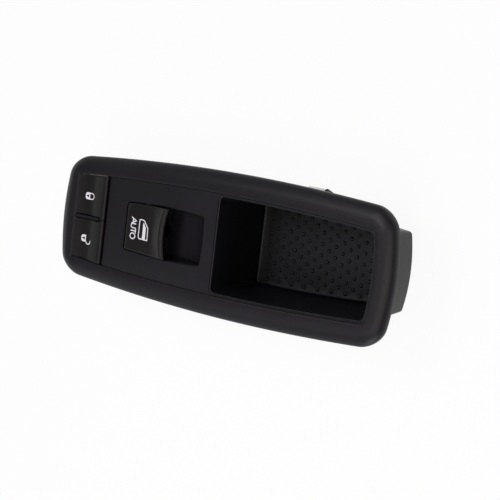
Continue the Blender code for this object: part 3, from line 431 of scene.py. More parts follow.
def settle(made):
    """Applies the piece's modifiers, smooths its shading, and hands it to its body."""
    bpy.context.view_layer.update()
    evaluated = made.evaluated_get(bpy.context.evaluated_depsgraph_get())
    mesh = bpy.data.meshes.new_from_object(evaluated)
    helpers = [modifier.object for modifier in made.modifiers]
    made.modifiers.clear()
    made.data = mesh
    for helper in helpers:
        bpy.data.objects.remove(helper)
    angle, body, slot, node = PLANS[made.name]
    mesh.shade_smooth()
    mesh.set_sharp_from_angle(angle=math.radians(angle))
    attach(made, body)
    if node:
        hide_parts(node)
    return made


def bezel_outline():
    return Outline(
        SKIN_INSET - BEZEL_LENGTH / 2, BEZEL_LENGTH / 2 - SKIN_INSET, BEZEL_HALF_WIDTH - SKIN_INSET,
        BEZEL_CORNER, BEZEL_SIDE_RADIUS, BEZEL_MID_X, END_RADIUS, END_RADIUS, BEZEL_LEFT_CORNER,
    )


def field_outline(left):
    return Outline(
        left, FIELD_RIGHT_X, FIELD_HALF_WIDTH, FIELD_CORNER, FIELD_SIDE_RADIUS, FIELD_MID_X,
        corner_left=FIELD_LEFT_CORNER,
    )


def tray_rim():
    return Outline(
        TRAY_LEFT_X, FIELD_RIGHT_X - TRAY_EDGE, FIELD_HALF_WIDTH - TRAY_EDGE, TRAY_CORNER,
        FIELD_SIDE_RADIUS, FIELD_MID_X,
    )


def tray_floor():
    return Outline(
        TRAY_LEFT_X + TRAY_DRAFT_LEFT, FIELD_RIGHT_X - TRAY_EDGE - TRAY_DRAFT_RIGHT, TRAY_FLOOR_HALF_WIDTH,
        TRAY_CORNER, TRAY_FLOOR_SIDE_RADIUS, TRAY_MID_X,
    )


def tray_box():
    """The outside of the tray at its foot, with a thicker right end."""
    floor = tray_floor()
    return Outline(
        floor.left - TRAY_WALL, floor.right + TRAY_END_WALL, floor.half + TRAY_END_WALL, TRAY_BOX_CORNER,
        TRAY_FLOOR_SIDE_RADIUS, TRAY_MID_X, None, TRAY_BOX_END_RADIUS,
    )


def rocker_outline(left=ROCKER_LEFT_X):
    return Outline(
        left, ROCKER_RIGHT_X, ROCKER_HALF_WIDTH, ROCKER_CORNER, ROCKER_SIDE_RADIUS, ROCKER_MID_X,
    )


def screw_places():
    outline = field_outline(PANEL_LEFT_X)
    return [(x, side * (outline.half_at(x) + FLANGE_REACH / 4)) for x in SCREW_XS for side in (1, -1)]


def quarter(start, end, steps=5, steep=False):
    """Points of a quarter round from start to end. The first coordinate lags, or leads when it is steep."""
    points = []
    for step in range(steps + 1):
        turn = math.pi / 2 * step / steps
        shares = (math.sin(turn), 1 - math.cos(turn)) if steep else (1 - math.cos(turn), math.sin(turn))
        points.append(tuple(a + (b - a) * share for a, b, share in zip(start, end, shares)))
    return points


def bezel_shell(look):
    """The crowned trim ring with its divider rib and snap hooks."""
    inner = field_outline(KEY_LEFT_X).loop(0.0)
    outer = bezel_outline().loop(0.0)
    edge_drop = BEZEL_WALL + 1.2 * MM
    crown = [
        (0.0, 0.2 * MM), (0.004, -0.15 * MM), (0.03, -BEZEL_CROWN + 0.1 * MM), (0.12, -BEZEL_CROWN),
        (0.25, -BEZEL_CROWN), (0.5, -0.2 * MM), (0.7, 0.45 * MM), (0.85, 1.2 * MM), (0.94, 1.9 * MM),
        (0.985, 2.6 * MM), (1.0, edge_drop),
    ]
    scaled = [Vector((share * SIDE_BORDER, drop)) for share, drop in crown]
    section = [(point.x / SIDE_BORDER, point.y) for point in smooth_line(scaled, 4)]
    section += [
        (0.992, BEZEL_DROP - 0.6 * MM), (0.985, BEZEL_DROP - 0.25 * MM), (0.968, BEZEL_DROP - 0.06 * MM),
        (0.95, BEZEL_DROP), (0.88, BEZEL_DROP), (0.865, BEZEL_DROP - 0.05 * MM),
        (0.86, BEZEL_DROP - 0.2 * MM), (0.84, edge_drop + 0.5 * MM), (0.8, edge_drop),
        (0.6, BEZEL_WALL + 0.3 * MM), (0.3, BEZEL_WALL - BEZEL_CROWN), (0.0, BEZEL_WALL - BEZEL_CROWN),
    ]
    loops = [
        [a.lerp(b, share) + Vector((0, 0, height(drop))) for a, b in zip(inner, outer)]
        for share, drop in section
    ]
    made = piece("bezel_shell", loft(loops, ring=True), look, "panel", "bezel_plastic", "bezel_frame")
    rib_low = height(BEZEL_WALL - BEZEL_CROWN - 0.1 * MM)
    bar = rounded_bar(KEY_LEFT_X - 2 * MM, RIB_END_X, RIB_HALF)
    small_bar = rounded_bar(KEY_LEFT_X - 2 * MM, RIB_END_X - RIB_ROUND, RIB_HALF - RIB_ROUND)
    add(made, loft([
        lifted(bar, rib_low), lifted(bar, height(-0.05 * MM)), lifted(small_bar, height(-0.2 * MM)),
    ]))
    field = field_outline(KEY_LEFT_X)
    xs = [KEY_LEFT_X + (PANEL_LEFT_X - KEY_LEFT_X) * step / 8 for step in range(9)]
    for side in (1, -1):
        near = [(x, side * (field.half_at(x) + 0.05 * MM)) for x in xs]
        far = [(x, side * (field.half_at(x) + SKIRT_WALL)) for x in reversed(xs)]
        add(made, upright(near + far, height(SKIRT_DROP), height(BEZEL_WALL / 3)))
    foot = field.half_at(KEY_LEFT_X) - SEAM_FOOT
    ledge = ((-0.5, 1.2), (0.33, 1.2), (0.33, 0.13), (0.0, -0.05), (-0.5, -0.12))
    add(made, across([(KEY_LEFT_X + x * MM, height(drop * MM)) for x, drop in ledge], -foot, foot))
    reaches = (-0.28 * MM, 0.3 * MM)
    for side in (1, -1):
        add(made, side_rail(
            side, KEY_LEFT_X - 0.5 * MM, FILLER_LENGTH, 8, reaches, 1.7 * MM, 0.14 * MM, 1.4 * MM
        ))
    flange_low = FLANGE_TOP + FLANGE_WALL
    for x in HOOK_XS:
        for side in (1, -1):
            edge = field.half_at(x) - RUN_GAP + FLANGE_REACH
            leg = edge + 2 * PART_GAP
            hook = (
                (leg, BEZEL_WALL - 0.6 * MM), (leg, flange_low + PART_GAP),
                (leg - 1.2 * MM, flange_low + PART_GAP), (leg, flange_low + 1.9 * MM),
                (leg + 1.3 * MM, flange_low + 1.9 * MM), (leg + 1.3 * MM, BEZEL_WALL - 0.6 * MM),
            )
            add(made, along(heights(hook, side), x - HOOK_WIDTH / 2, x + HOOK_WIDTH / 2))
    return settle(made)


def panel_shell(look):
    """The field's moulding with rounded edges: plate, rocker opening, finger scoop and storage tray."""
    outline = field_outline(PANEL_LEFT_X)
    left = PANEL_LEFT_X
    back = left + 0.8 * MM
    inside = back + 1.6 * MM
    flange_low = FLANGE_TOP + FLANGE_WALL
    round_off = 0.3 * MM
    steps = [
        (drop, -SEAM_GAP - inset, left + inset)
        for inset, drop in quarter((SEAM_ROUND, 0.0), (0.0, SEAM_ROUND), 4, True)
    ]
    steps += [
        (SEAM_DEPTH, -SEAM_FOOT, left), (FLANGE_TOP, -SEAM_FOOT, left),
        (FLANGE_TOP, FLANGE_REACH - RUN_GAP, back), (flange_low, FLANGE_REACH - RUN_GAP, back),
        (flange_low, -RUN_GAP - 1.6 * MM, inside), (PANEL_WALL, -RUN_GAP - 1.6 * MM, inside),
    ]
    loops = [outline.loop(height(drop), grow, start) for drop, grow, start in steps]
    made = piece("panel_shell", loft(loops), look, "panel", "panel_plastic", "centre_panel")

    rim = tray_rim()
    floor = tray_floor()
    floor_drop = TRAY_DEPTH + MAT_WALL + PART_GAP
    box = tray_box()
    loops = [rim.loop(height(PANEL_WALL - 0.4 * MM), TRAY_WALL)]
    for inset, rise in quarter((0.0, 0.7 * MM), (0.7 * MM, 0.0)):
        loops.append(box.loop(rise, -inset))
    add(made, loft(loops))
    bowl = rocker_outline(SCOOP_LEFT_X)
    add(made, loft([
        bowl.loop(height(PANEL_WALL - 0.3 * MM), SCOOP_WALL, SCOOP_LEFT_X, **SMALL),
        bowl.loop(height(SCOOP_DEPTH * 0.55), SCOOP_WALL * 0.7, SCOOP_LEFT_X, **SMALL),
        bowl.loop(
            height(SCOOP_DEPTH + SCOOP_WALL), -0.4 * MM, SCOOP_LEFT_X, ROCKER_RIGHT_X - 9 * MM, **SMALL
        ),
    ]))
    for place in screw_places():
        boss = ((BOSS_RADIUS, flange_low - 0.4 * MM), (BOSS_RADIUS, BOSS_DROP))
        add(made, turned(heights(boss), place))
    inner, outer = tower_y(), tower_y() + TOWER_WALL
    root = FLANGE_TOP + 0.8 * MM
    tower = ((inner, root), (inner, TOWER_DROP), (outer, TOWER_DROP), (outer, root))
    half = CLIP_WIDTH / 2 + 0.8 * MM
    for side in (1, -1):
        add(made, along(heights(tower, side), CLIP_X - half, CLIP_X + half))
        for end in (1, -1):
            add(made, clip_cheek(side, end))

    cut(made, loft([
        rim.loop(height(-MM), TRAY_ROUND),
        *rounding(rim, TRAY_ROUND, (0.0, 0.0), (TRAY_ROUND, TRAY_ROUND)),
        *rounding(floor, 0.0, (0.0, floor_drop - 0.8 * MM), (0.8 * MM, floor_drop)),
    ]))
    hole = rocker_outline()
    cut(made, loft([
        hole.loop(height(-MM), round_off, **SMALL),
        *rounding(hole, round_off, (0.0, 0.0), (round_off, round_off), 4, **SMALL),
        hole.loop(height(PANEL_WALL + 0.05 * MM), 0, **SMALL),
    ]))
    slope = (
        (0.22, 0.1, 0.1), (0.36, 0.2, 0.5), (0.6, 0.6, 2.0), (0.82, 1.0, 5.0), (0.94, 1.3, 9.0),
        (1.0, 1.6, 14.0),
    )
    cut(made, loft([
        hole.loop(
            height(SCOOP_DEPTH * share), -inset * MM, SCOOP_LEFT_X - 2 * MM, ROCKER_RIGHT_X - shy * MM,
            **SMALL,
        )
        for share, inset, shy in smooth_line(slope, 4)
    ]))
    bore = SCREW_RADIUS + PART_GAP
    for place in screw_places():
        pilot = ((bore, BOSS_DROP + MM), (bore, FLANGE_TOP + 0.7 * MM))
        cut(made, turned(heights(pilot), place, 24))
    # Narrow plates below the pressed keys close the gap at their outer corners to the light from below
    deep = KEY_WALL + KEY_NOSE + KEY_TRAVEL_GAP
    reaches = (-1.6 * MM, 0.3 * MM)
    for side in (1, -1):
        add(made, side_rail(side, left - 8 * MM, 8.8 * MM, 4, reaches, deep + GAP_PLATE_WALL, deep))
    return settle(made)


def rounding(outline, grow, start, end, steps=5, **fineness):
    """Loops of an outline that shrink along a quarter round between two (inset, drop) pairs."""
    return [
        outline.loop(height(drop), grow - inset, **fineness)
        for inset, drop in quarter(start, end, steps)
    ]


def tower_y():
    """The inner face of the plate that carries a spring clip."""
    outline = field_outline(PANEL_LEFT_X)
    return outline.half_at(CLIP_X) - RUN_GAP + FLANGE_REACH - TOWER_WALL - 0.4 * MM


def clip_cheek(side, end):
    """A plate beside the clip's end that keeps it from bending sideways."""
    near = tower_y() + TOWER_WALL - 0.2 * MM
    start = CLIP_X + end * (CLIP_WIDTH / 2 + PART_GAP)
    sections = []
    for reach, lower in ((0, CHEEK_TIPS[end][0]), (1.1 * MM, CHEEK_TIPS[end][1])):
        crest = CLIP_CREST_Y - lower
        line = (
            (near, TOWER_DROP), (crest - 2.3 * MM, TOWER_DROP), (crest, 12.2 * MM),
            (crest, CLIP_CREST_DROP - 0.2 * MM), (near, BEZEL_DROP + 1.4 * MM),
        )
        sections.append([Vector((start + end * reach, y, z)) for y, z in heights(line, side)])
    return loft(sections)


def stud_places():
    """The (x, y) of each stud: staggered rows that close up as the mat narrows, in columns that spread."""
    floor = tray_floor()
    places = []
    x = floor.left + STUD_MARGIN
    pitch = STUD_PITCH
    shift = 0.0
    while x < floor.right - STUD_END_MARGIN:
        rows = [row + shift for row in range(-STUD_ROWS, STUD_ROWS + 1)]
        places += [(x, STUD_SHARE * row * floor.half_at(x)) for row in rows if row <= STUD_ROWS]
        x += pitch
        pitch *= STUD_STRETCH
        shift = 0.5 - shift
    return places


def studded_mat(look):
    """The rubber mat with rounded studs."""
    floor = tray_floor()
    top = height(TRAY_DEPTH)
    bead = ((1.3, 0.0), (1.05, 0.1), (0.8, 0.28), (0.55, 0.34), (0.25, 0.24), (0.07, 0.02), (0.0, -0.25))
    loops = [floor.loop(top + rise * MM, -MAT_GAP - inset * MM) for inset, rise in bead]
    loops += [floor.loop(top - MAT_WALL * 0.6, -MAT_GAP), floor.loop(top - MAT_WALL, -0.8 * MM - MAT_GAP)]
    made = piece("studded_mat", loft(loops), look, "panel", "mat_rubber", "tray_mat", 50)
    studs = bmesh.new()
    flare = ((1.0, -0.1), (1.0, 0.05), (0.93, 0.35), (0.78, 0.68), (0.55, 0.9), (0.25, 1.0))
    profile = [(STUD_RADIUS * reach, top + STUD_HEIGHT * rise) for reach, rise in flare]
    for place in stud_places():
        turned(profile, place, 16, studs)
    add(made, studs)
    return settle(made)


def edge_ease(share, start, depth):
    """How far the top falls near a side edge: a quarter round from this share on."""
    reach = max(abs(share) - start, 0.0) / (1 - start)
    return depth * (1 - math.sqrt(max(1 - reach * reach, 0.0)))


def knob_top():
    """The knob's upper line as (x, z over the field's face) points, from its back edge to the lip's nose.

    The first KNOB_BACK_POINTS make its back edge, and the last KNOB_LIP_POINTS its lip.
    """
    left = ROCKER_LEFT_X + KNOB_GAP
    crest = KNOB_LIP_HEIGHT - 0.05 * MM
    return [
        (left, -0.9 * MM), (left + 0.3 * MM, -0.25 * MM), (left + MM, 0.05 * MM),
        (left + 7 * MM, 0.45 * MM), (KNOB_FRONT_X - 4 * MM, 0.9 * MM), (KNOB_FRONT_X - 0.2 * MM, 1.25 * MM),
        (KNOB_LIP_X - 3.6 * MM, crest - 0.55 * MM), (KNOB_LIP_X - 2 * MM, crest),
        (KNOB_LIP_X - 0.6 * MM, crest - 0.3 * MM), (KNOB_LIP_X, crest - 1.2 * MM),
    ]


def knob_shell(look):
    """The rocker's knob with rounded edges, its cheeks and feet."""
    hole = rocker_outline()
    left = ROCKER_LEFT_X + KNOB_GAP
    low = PIVOT_DROP + 2 * MM
    top = knob_top()

    def profile(share):
        """Its (x, z) section at this share of its half width."""
        shift = KNOB_LIP_HOLLOW * share * share
        ease = edge_ease(share, KNOB_SIDE_START, KNOB_SIDE_DROP)
        near = edge_ease(share, KNOB_SIDE_START, KNOB_CORNER)
        line = []
        for i, (x, z) in enumerate(top):
            slide = shift if i >= len(top) - KNOB_LIP_POINTS else 0.0
            pull = near if i < KNOB_BACK_POINTS else 0.0
            line.append((x + slide + pull, z - ease))
        lip = KNOB_LIP_X + shift
        crest = KNOB_LIP_HEIGHT - ease
        line += [(lip - 0.6 * MM, crest - 2.1 * MM), (lip - 3 * MM, -0.1 * MM - ease * 0.3)]
        return [
            (left + near, -PANEL_WALL), *smooth_line(line, 5),
            (KNOB_FRONT_X + 0.6 * MM, -1.8 * MM), (KNOB_FRONT_X, -low), (KNOB_FRONT_X - 1.8 * MM, -low),
            (KNOB_FRONT_X - 2.2 * MM, 0.9 * MM - KNOB_SKIN), (left + 2 * MM, 0.2 * MM - KNOB_SKIN),
            (left + 1.8 * MM, -PANEL_WALL),
        ]

    rest = 1 - KNOB_SIDE_START
    edges = [math.sin(math.pi / 2 * step / 6) * rest + KNOB_SIDE_START for step in range(7)]
    middle = [step / 10 * KNOB_SIDE_START for step in range(1, 10)]
    shares = sorted([0.0] + [side * share for side in (1, -1) for share in middle + edges])
    sections = [
        [Vector((x, share * (hole.half_at(x) - KNOB_GAP), FACE_Z + z)) for x, z in profile(share)]
        for share in shares
    ]
    made = piece("knob_shell", loft(sections), look, "window_rocker", "knob_plastic", "window_rocker", 40)
    cheek = (
        (PIVOT_X - 6 * MM, 1.2 * MM), (PIVOT_X + 6 * MM, 1.2 * MM),
        (PIVOT_X + 2.6 * MM, PIVOT_DROP + 2.6 * MM), (PIVOT_X + 1.2 * MM, PIVOT_DROP + 3.4 * MM),
        (PIVOT_X - 1.2 * MM, PIVOT_DROP + 3.4 * MM), (PIVOT_X - 2.6 * MM, PIVOT_DROP + 2.6 * MM),
    )
    for side in (1, -1):
        add(made, across(heights(cheek), side * CHEEK_HALF, side * (CHEEK_HALF - CHEEK_WALL)))
    outer = FOOT_REACH + FOOT_WIDTH / 2
    inner = FOOT_REACH - FOOT_WIDTH / 2
    web = PIVOT_DROP + 4.5 * MM
    legs = (
        (-outer, 1.2 * MM), (-outer, SOLE_DROP), (-inner, SOLE_DROP), (-inner + 0.4 * MM, web),
        (inner - 0.4 * MM, web), (inner, SOLE_DROP), (outer, SOLE_DROP), (outer, 1.2 * MM),
    )
    add(made, across([(PIVOT_X + x, height(drop)) for x, drop in legs], -2.2 * MM, 2.2 * MM))
    bore = PIVOT_RADIUS + PART_GAP
    reach = CHEEK_HALF + MM
    cut(made, rod_y(PIVOT_X, height(PIVOT_DROP), bore, -reach, reach))
    return settle(made)


def key_top():
    """A lock key's upper line as (x, drop) points, from the hinge end to the front face."""
    left, right = KEY_START_X, KEY_END_X
    return [
        (left, 0.15 * MM), (left + 1.6 * MM, 0.4 * MM), (left + 5 * MM, 0.75 * MM),
        (left + 9 * MM, 0.55 * MM), (right - 5 * MM, -0.4 * MM), (right - 1.3 * MM, -KEY_CREST),
        (right - 0.45 * MM, -KEY_CREST + 0.15 * MM), (right - 0.05 * MM, -0.4 * MM), (right, 0.3 * MM),
    ]


def key_shell(name, node_name, side, look):
    """One lock key with rounded edges, its side wall, hinge barrel and post."""
    field = field_outline(KEY_LEFT_X)
    left, right = KEY_START_X, KEY_END_X
    top = smooth_line(key_top(), 6)
    under = [
        (right, KEY_WALL + KEY_NOSE), (right - 1.6 * MM, KEY_WALL + KEY_NOSE),
        (right - 1.8 * MM, KEY_WALL - 0.6 * MM), (right - 6 * MM, KEY_WALL),
        (left + 4.5 * MM, KEY_WALL + MM), (left, KEY_WALL + 1.2 * MM),
    ]
    near = PART_GAP * 0.6
    starts = quarter((0.0, KEY_SIDE_DROP), (KEY_SIDE_SHARE, 0.0))
    ends = [(1 - share, ease) for share, ease in reversed(starts)]
    middle = 1 - 2 * KEY_SIDE_SHARE
    rows = starts + [(KEY_SIDE_SHARE + middle * step / 10, 0.0) for step in range(1, 10)] + ends
    sections = []
    for share, ease in rows:
        section = []
        for i, (x, drop) in enumerate(top + under):
            far = field.half_at(x) - RUN_GAP - KEY_SIDE_SLACK
            eased = drop + ease if i < len(top) else drop
            section.append(Vector((x, side * (near + share * (far - near)), height(eased))))
        sections.append(section)
    hinge_z = height(KEY_HINGE_DROP)
    made = piece(name, loft(sections), look, node_name, "knob_plastic", node_name, 40)
    barrel_near = side * 3 * MM
    barrel_far = side * (field.half_at(KEY_HINGE_X) - 3.5 * MM)
    add(made, rod_y(KEY_HINGE_X, hinge_z, KEY_BARREL, barrel_near, barrel_far))
    arm = (
        (KEY_HINGE_X + 0.2 * MM, KEY_HINGE_DROP - 1.7 * MM), (left + 2.6 * MM, KEY_WALL - 0.4 * MM),
        (left + 2.6 * MM, KEY_WALL + 2.6 * MM), (KEY_HINGE_X + 0.2 * MM, KEY_HINGE_DROP + 1.5 * MM),
    )
    add(made, across(heights(arm), barrel_near, barrel_far))
    post = ((KEY_POST_RADIUS, KEY_WALL - 0.5 * MM), (KEY_POST_RADIUS, SOLE_DROP))
    add(made, turned(heights(post), (KEY_POST_X, side * KEY_POST_Y)))
    cut(made, rod_y(KEY_HINGE_X, hinge_z, KEY_PIN_RADIUS + PART_GAP, side * MM, barrel_far + side * MM))
    rib = rounded_bar(KEY_LEFT_X - 4 * MM, RIB_END_X + RIB_GAP, RIB_HALF + RIB_GAP)
    cut(made, upright(rib, height(KEY_WALL + 3.3 * MM), height(-2 * MM)))
    edge = -RUN_GAP - KEY_SIDE_SLACK
    reaches = (edge - KEY_SIDE_WALL, edge)
    length = right - left - 2.2 * MM
    add(made, side_rail(side, left + 2 * MM, length, 8, reaches, KEY_WALL + KEY_NOSE, KEY_WALL - 0.3 * MM))
    start, end = RIB_END_X - 0.3 * MM, RIB_END_X + 1.15 * MM
    reach = side * (RIB_HALF + RIB_GAP)
    pocket = [(start, 0), (end, 0), (end, reach), (start, reach)]
    cut(made, upright(pocket, height(KEY_WALL + MM), height(-2 * MM)))
    return settle(made)


def mitres(points, closed=False):
    """At each point of a line, the vector to where its left side one metre away is mitred."""
    count = len(points)
    found = []
    for i, point in enumerate(points):
        before = points[i - 1] if closed or i else point
        after = points[(i + 1) % count] if closed or i + 1 < count else point
        ways = [(b - a).normalized() for a, b in ((before, point), (point, after)) if (b - a).length > 1e-9]
        mean = sum(ways, Vector((0, 0))).normalized()
        normal = Vector((-mean.y, mean.x))
        found.append(normal / max(normal.dot(Vector((-ways[0].y, ways[0].x))), 0.5))
    return found


def rounded_path(points, radius, steps=5):
    """A path of straight runs with each inner corner replaced by a curve of about this radius."""
    points = [Vector(point) for point in points]
    path = [points[0]]
    for before, corner, after in zip(points, points[1:], points[2:]):
        start = corner + (before - corner).normalized() * min(radius, (before - corner).length * 0.45)
        end = corner + (after - corner).normalized() * min(radius, (after - corner).length * 0.45)
        for step in range(steps + 1):
            share = step / steps
            path.append(start.lerp(corner, share).lerp(corner.lerp(end, share), share))
    return [*path, points[-1]]


def clip_strip(name, node_name, side, look):
    """A folded spring-steel strip over its tower, with real bend radii."""
    inner = tower_y() - PART_GAP
    outer = tower_y() + TOWER_WALL + PART_GAP
    bottom = TOWER_DROP + PART_GAP
    path = (
        (inner, CLIP_CREST_DROP - 3 * MM), (inner, bottom), (outer, bottom),
        (CLIP_CREST_Y - 1.5 * MM, CLIP_CREST_DROP + 1.6 * MM), (CLIP_CREST_Y - CLIP_METAL, CLIP_CREST_DROP),
        (CLIP_CREST_Y - 1.5 * MM, CLIP_CREST_DROP - 1.4 * MM),
        (outer + 0.8 * MM, BEZEL_DROP + 1.4 * MM),
    )
    folded = rounded_path([(y, -drop) for y, drop in path], 0.7 * MM)
    back = [point - mitre * CLIP_METAL for point, mitre in zip(folded, mitres(folded))]
    profile = [(side * point.x, FACE_Z + point.y) for point in [*folded, *reversed(back)]]
    skin = along(profile, CLIP_X - CLIP_WIDTH / 2, CLIP_X + CLIP_WIDTH / 2)
    return settle(piece(name, skin, look, "panel", "spring_steel", node_name, 30))


def screw_shell(number, place, look):
    """A pan-head screw with a cross recess."""
    seat = BOSS_DROP + 2 * PART_GAP + EAR_WALL
    tip = FLANGE_TOP + 0.7 * MM + PART_GAP
    low = seat + SCREW_HEAD_HEIGHT
    head = ((0.35, 0.0), (0.7, 0.06), (0.9, 0.3), (1.0, 0.75))
    profile = [(SCREW_HEAD_RADIUS * reach, low - rise * MM) for reach, rise in head]
    profile += [(SCREW_HEAD_RADIUS, seat), (SCREW_RADIUS, seat)]
    turns = 7
    run = seat - tip - MM
    pitch = run / turns
    core = SCREW_RADIUS * 0.8
    for turn in range(turns):
        start = seat - 0.2 * MM - run * turn / turns
        profile += [(SCREW_RADIUS, start), (core, start - pitch * 0.35), (core, start - pitch * 0.6)]
    profile += [(core, tip + 0.6 * MM), (SCREW_RADIUS * 0.25, tip)]
    made = piece(
        f"screw_shell_{number}", turned(heights(profile), place, 28), look, "panel", "spring_steel",
        f"housing_screw_{number}", 30,
    )
    x, y = place
    for wide, narrow in ((1.3 * MM, 0.3 * MM), (0.3 * MM, 1.3 * MM)):
        mouth = [(x + a * wide, y + b * narrow) for a, b in ((-1, -1), (1, -1), (1, 1), (-1, 1))]
        cut(made, upright(mouth, height(low + 0.5 * MM), height(low - MM)))
    return settle(made)


def laid(name, skin, surface, lift, look, body, slot=None):
    """A painted mark: a flat area in x and y, laid on a surface as a thin closed film."""
    bmesh.ops.recalc_face_normals(skin, faces=skin.faces)
    for face in skin.faces:
        if face.normal.z < 0:
            face.normal_flip()
    for vert in skin.verts:
        vert.co.z = surface(vert.co.x) + lift
    bmesh.ops.solidify(skin, geom=list(skin.faces), thickness=FILM)
    bmesh.ops.recalc_face_normals(skin, faces=skin.faces)
    return settle(piece(name, skin, look, body, slot, None, 60))


def stroke(skin, points, width, closed=False):
    """A flat band along a line of points, added to the skin."""
    sides = []
    for point, mitre in zip(points, mitres(points, closed)):
        reach = mitre * width / 2
        sides.append([skin.verts.new((*(point + reach * sign), 0)) for sign in (1, -1)])
    for a, b in zip(sides, sides[1:] + sides[:1] if closed else sides[1:]):
        skin.faces.new((a[0], b[0], b[1], a[1]))


def dense(points, spacing, closed=False):
    """The same line with points no further apart than the spacing."""
    points = [Vector(point) for point in points]
    if closed:
        points.append(points[0])
    line = []
    for a, b in zip(points, points[1:]):
        steps = max(1, math.ceil((b - a).length / spacing))
        line += [a.lerp(b, step / steps) for step in range(steps)]
    return line if closed else [*line, points[-1]]


def arc(centre, radius_x, radius_y, start, end, steps=14):
    turns = [math.radians(start + (end - start) * step / steps) for step in range(steps + 1)]
    return [(centre[0] + radius_x * math.cos(a), centre[1] + radius_y * math.sin(a)) for a in turns]


def filled(skin, lower, upper, rows=6):
    """A flat area between two lines of points with the same count, added to the skin."""
    grid = []
    for row in range(rows + 1):
        share = row / rows
        grid.append([skin.verts.new((*Vector(a).lerp(Vector(b), share), 0)) for a, b in zip(lower, upper)])
    for low, high in zip(grid, grid[1:]):
        for i in range(len(low) - 1):
            skin.faces.new((low[i], low[i + 1], high[i + 1], high[i]))


def level(line, x):
    """The second value of a line of (x, value) points at this x."""
    for (xa, a), (xb, b) in zip(line, line[1:]):
        if xa <= x <= xb:
            return a + (b - a) * (x - xa) / (xb - xa) if xb > xa else a
    return line[0][1] if x < line[0][0] else line[-1][1]


def padlock(name, centre, opened, paint, dark, body):
    """A padlock mark that lies with its shackle towards +X. Its body is a rounded shield with a keyhole."""
    top = smooth_line(key_top(), 6)

    def surface(x):
        return height(level(top, x))

    cx, cy = centre
    skin = bmesh.new()
    lower, upper = [], []
    for step in range(15):
        share = step / 14
        x = cx + (2 * share - 1) * PADLOCK_HALF_LENGTH
        if share < 0.5:
            wide = 0.35 + 0.65 * math.sqrt(1 - (2 * share - 1) ** 2)
        else:
            wide = 1 - 0.06 * (share - 0.5)
        half = wide * PADLOCK_HALF_WIDTH
        lower.append((x, cy - half))
        upper.append((x, cy + half))
    filled(skin, lower, upper)
    laid(f"{name}_body", skin, surface, 1.5 * LIFT, paint, body)
    skin = bmesh.new()
    if opened:
        bow = [(1.2, -1.2), *arc((3.1, -1.2), 1.45, 1.45, 215, 380, 16)]
    else:
        bow = [(1.2, 1.42), (2.4, 1.42), *arc((2.6, 0), 1.55, 1.42, 90, -90), (1.2, -1.42)]
    line = dense([(cx + x * MM, cy + y * MM) for x, y in bow], 0.2 * MM)
    stroke(skin, line, LINE_WIDTH)
    laid(f"{name}_shackle", skin, surface, LIFT, paint, body)
    skin = bmesh.new()
    hole = ((-0.95 * MM, 0.1 * MM), (0.75 * MM, 0.72 * MM))
    lower, upper = ([(cx + x, cy + sign * half) for x, half in hole] for sign in (-1, 1))
    filled(skin, lower, upper, 3)
    laid(f"{name}_keyhole", skin, surface, 2.5 * LIFT, dark, body, "knob_plastic")


def knob_marks(paint):
    """AUTO and the window sign, both with their tops towards +X and reading towards -Y."""
    top = smooth_line(knob_top(), 5)

    def surface(x):
        return FACE_Z + level(top, x)

    body = "window_rocker"
    base = -49.45
    tall = 3.05
    # Each letter's start across the knob and its lines of (reading way, up way) points, in millimetres
    letters = {
        "letter_a": (4.75, [[(0, 0), (1.5, tall), (3.0, 0)], [(0.55, 1.05), (2.45, 1.05)]]),
        "letter_u": (1.75, [[(0, tall), (0, 1.0), *arc((1.0, 1.0), 1.0, 1.0, 180, 360, 10), (2.0, tall)]]),
        "letter_t": (-0.45, [[(0, tall), (2.3, tall)], [(1.15, tall), (1.15, 0)]]),
        "letter_o": (-2.75, [arc((1.35, tall / 2), 1.35, tall / 2, 0, 351, 26)]),
    }
    for name, (offset, lines) in letters.items():
        ring = name == "letter_o"
        for number, line in enumerate(lines):
            skin = bmesh.new()
            points = [((base + up) * MM, (offset - way) * MM) for way, up in line]
            stroke(skin, dense(points, 0.3 * MM, ring), LETTER_WIDTH, ring)
            laid(f"{name}_{number}", skin, surface, (1 + 0.75 * number) * LIFT, paint, body)

    frame_line = [
        (-44.25, 4.05), (-43.7, 4.35), (-41.8, 4.35), (-41.05, 3.75), (-38.75, 0.9), (-38.5, -4.75),
        (-38.8, -4.85), (-43.6, -4.7), (-44.25, -4.1),
    ]
    skin = bmesh.new()
    stroke(skin, dense([(x * MM, y * MM) for x, y in frame_line], 0.3 * MM, True), LINE_WIDTH, True)
    laid("sign_frame", skin, surface, LIFT, paint, body)
    skin = bmesh.new()
    glass = (
        (-41.4, 3), (-40.75, 2), (-40.1, 1), (-40, 0.5), (-39.97, -1), (-39.95, -2.5), (-39.9, -4.5),
    )
    lower = [(-41.85 * MM, y * MM) for _, y in glass]
    filled(skin, lower, [(x * MM, y * MM) for x, y in glass], 4)
    laid("sign_glass", skin, surface, 1.75 * LIFT, paint, body)


def fill(node, **values):
    """Sets a node's inputs. In their names an underscore stands for a space."""
    for name, value in values.items():
        node.inputs[name.replace("_", " ")].default_value = value
    return node


def add_node(tree, kind, **values):
    return fill(tree.nodes.new(f"ShaderNode{kind}"), **values)


def link(output, socket):
    output.id_data.links.new(output, socket)


def new_material(name):
    made = bpy.data.materials.new(name)
    made.use_nodes = True
    return made, made.node_tree, made.node_tree.nodes["Principled BSDF"]


def noise(tree, scale, detail, stretch=(1, 1, 1)):
    """A noise texture in the object's own coordinates, stretched per axis."""
    place = add_node(tree, "TexCoord")
    mapping = add_node(tree, "Mapping", Scale=stretch)
    texture = add_node(tree, "TexNoise", Scale=scale, Detail=detail)
    link(place.outputs["Object"], mapping.inputs["Vector"])
    link(mapping.outputs["Vector"], texture.inputs["Vector"])
    return texture.outputs["Fac"]


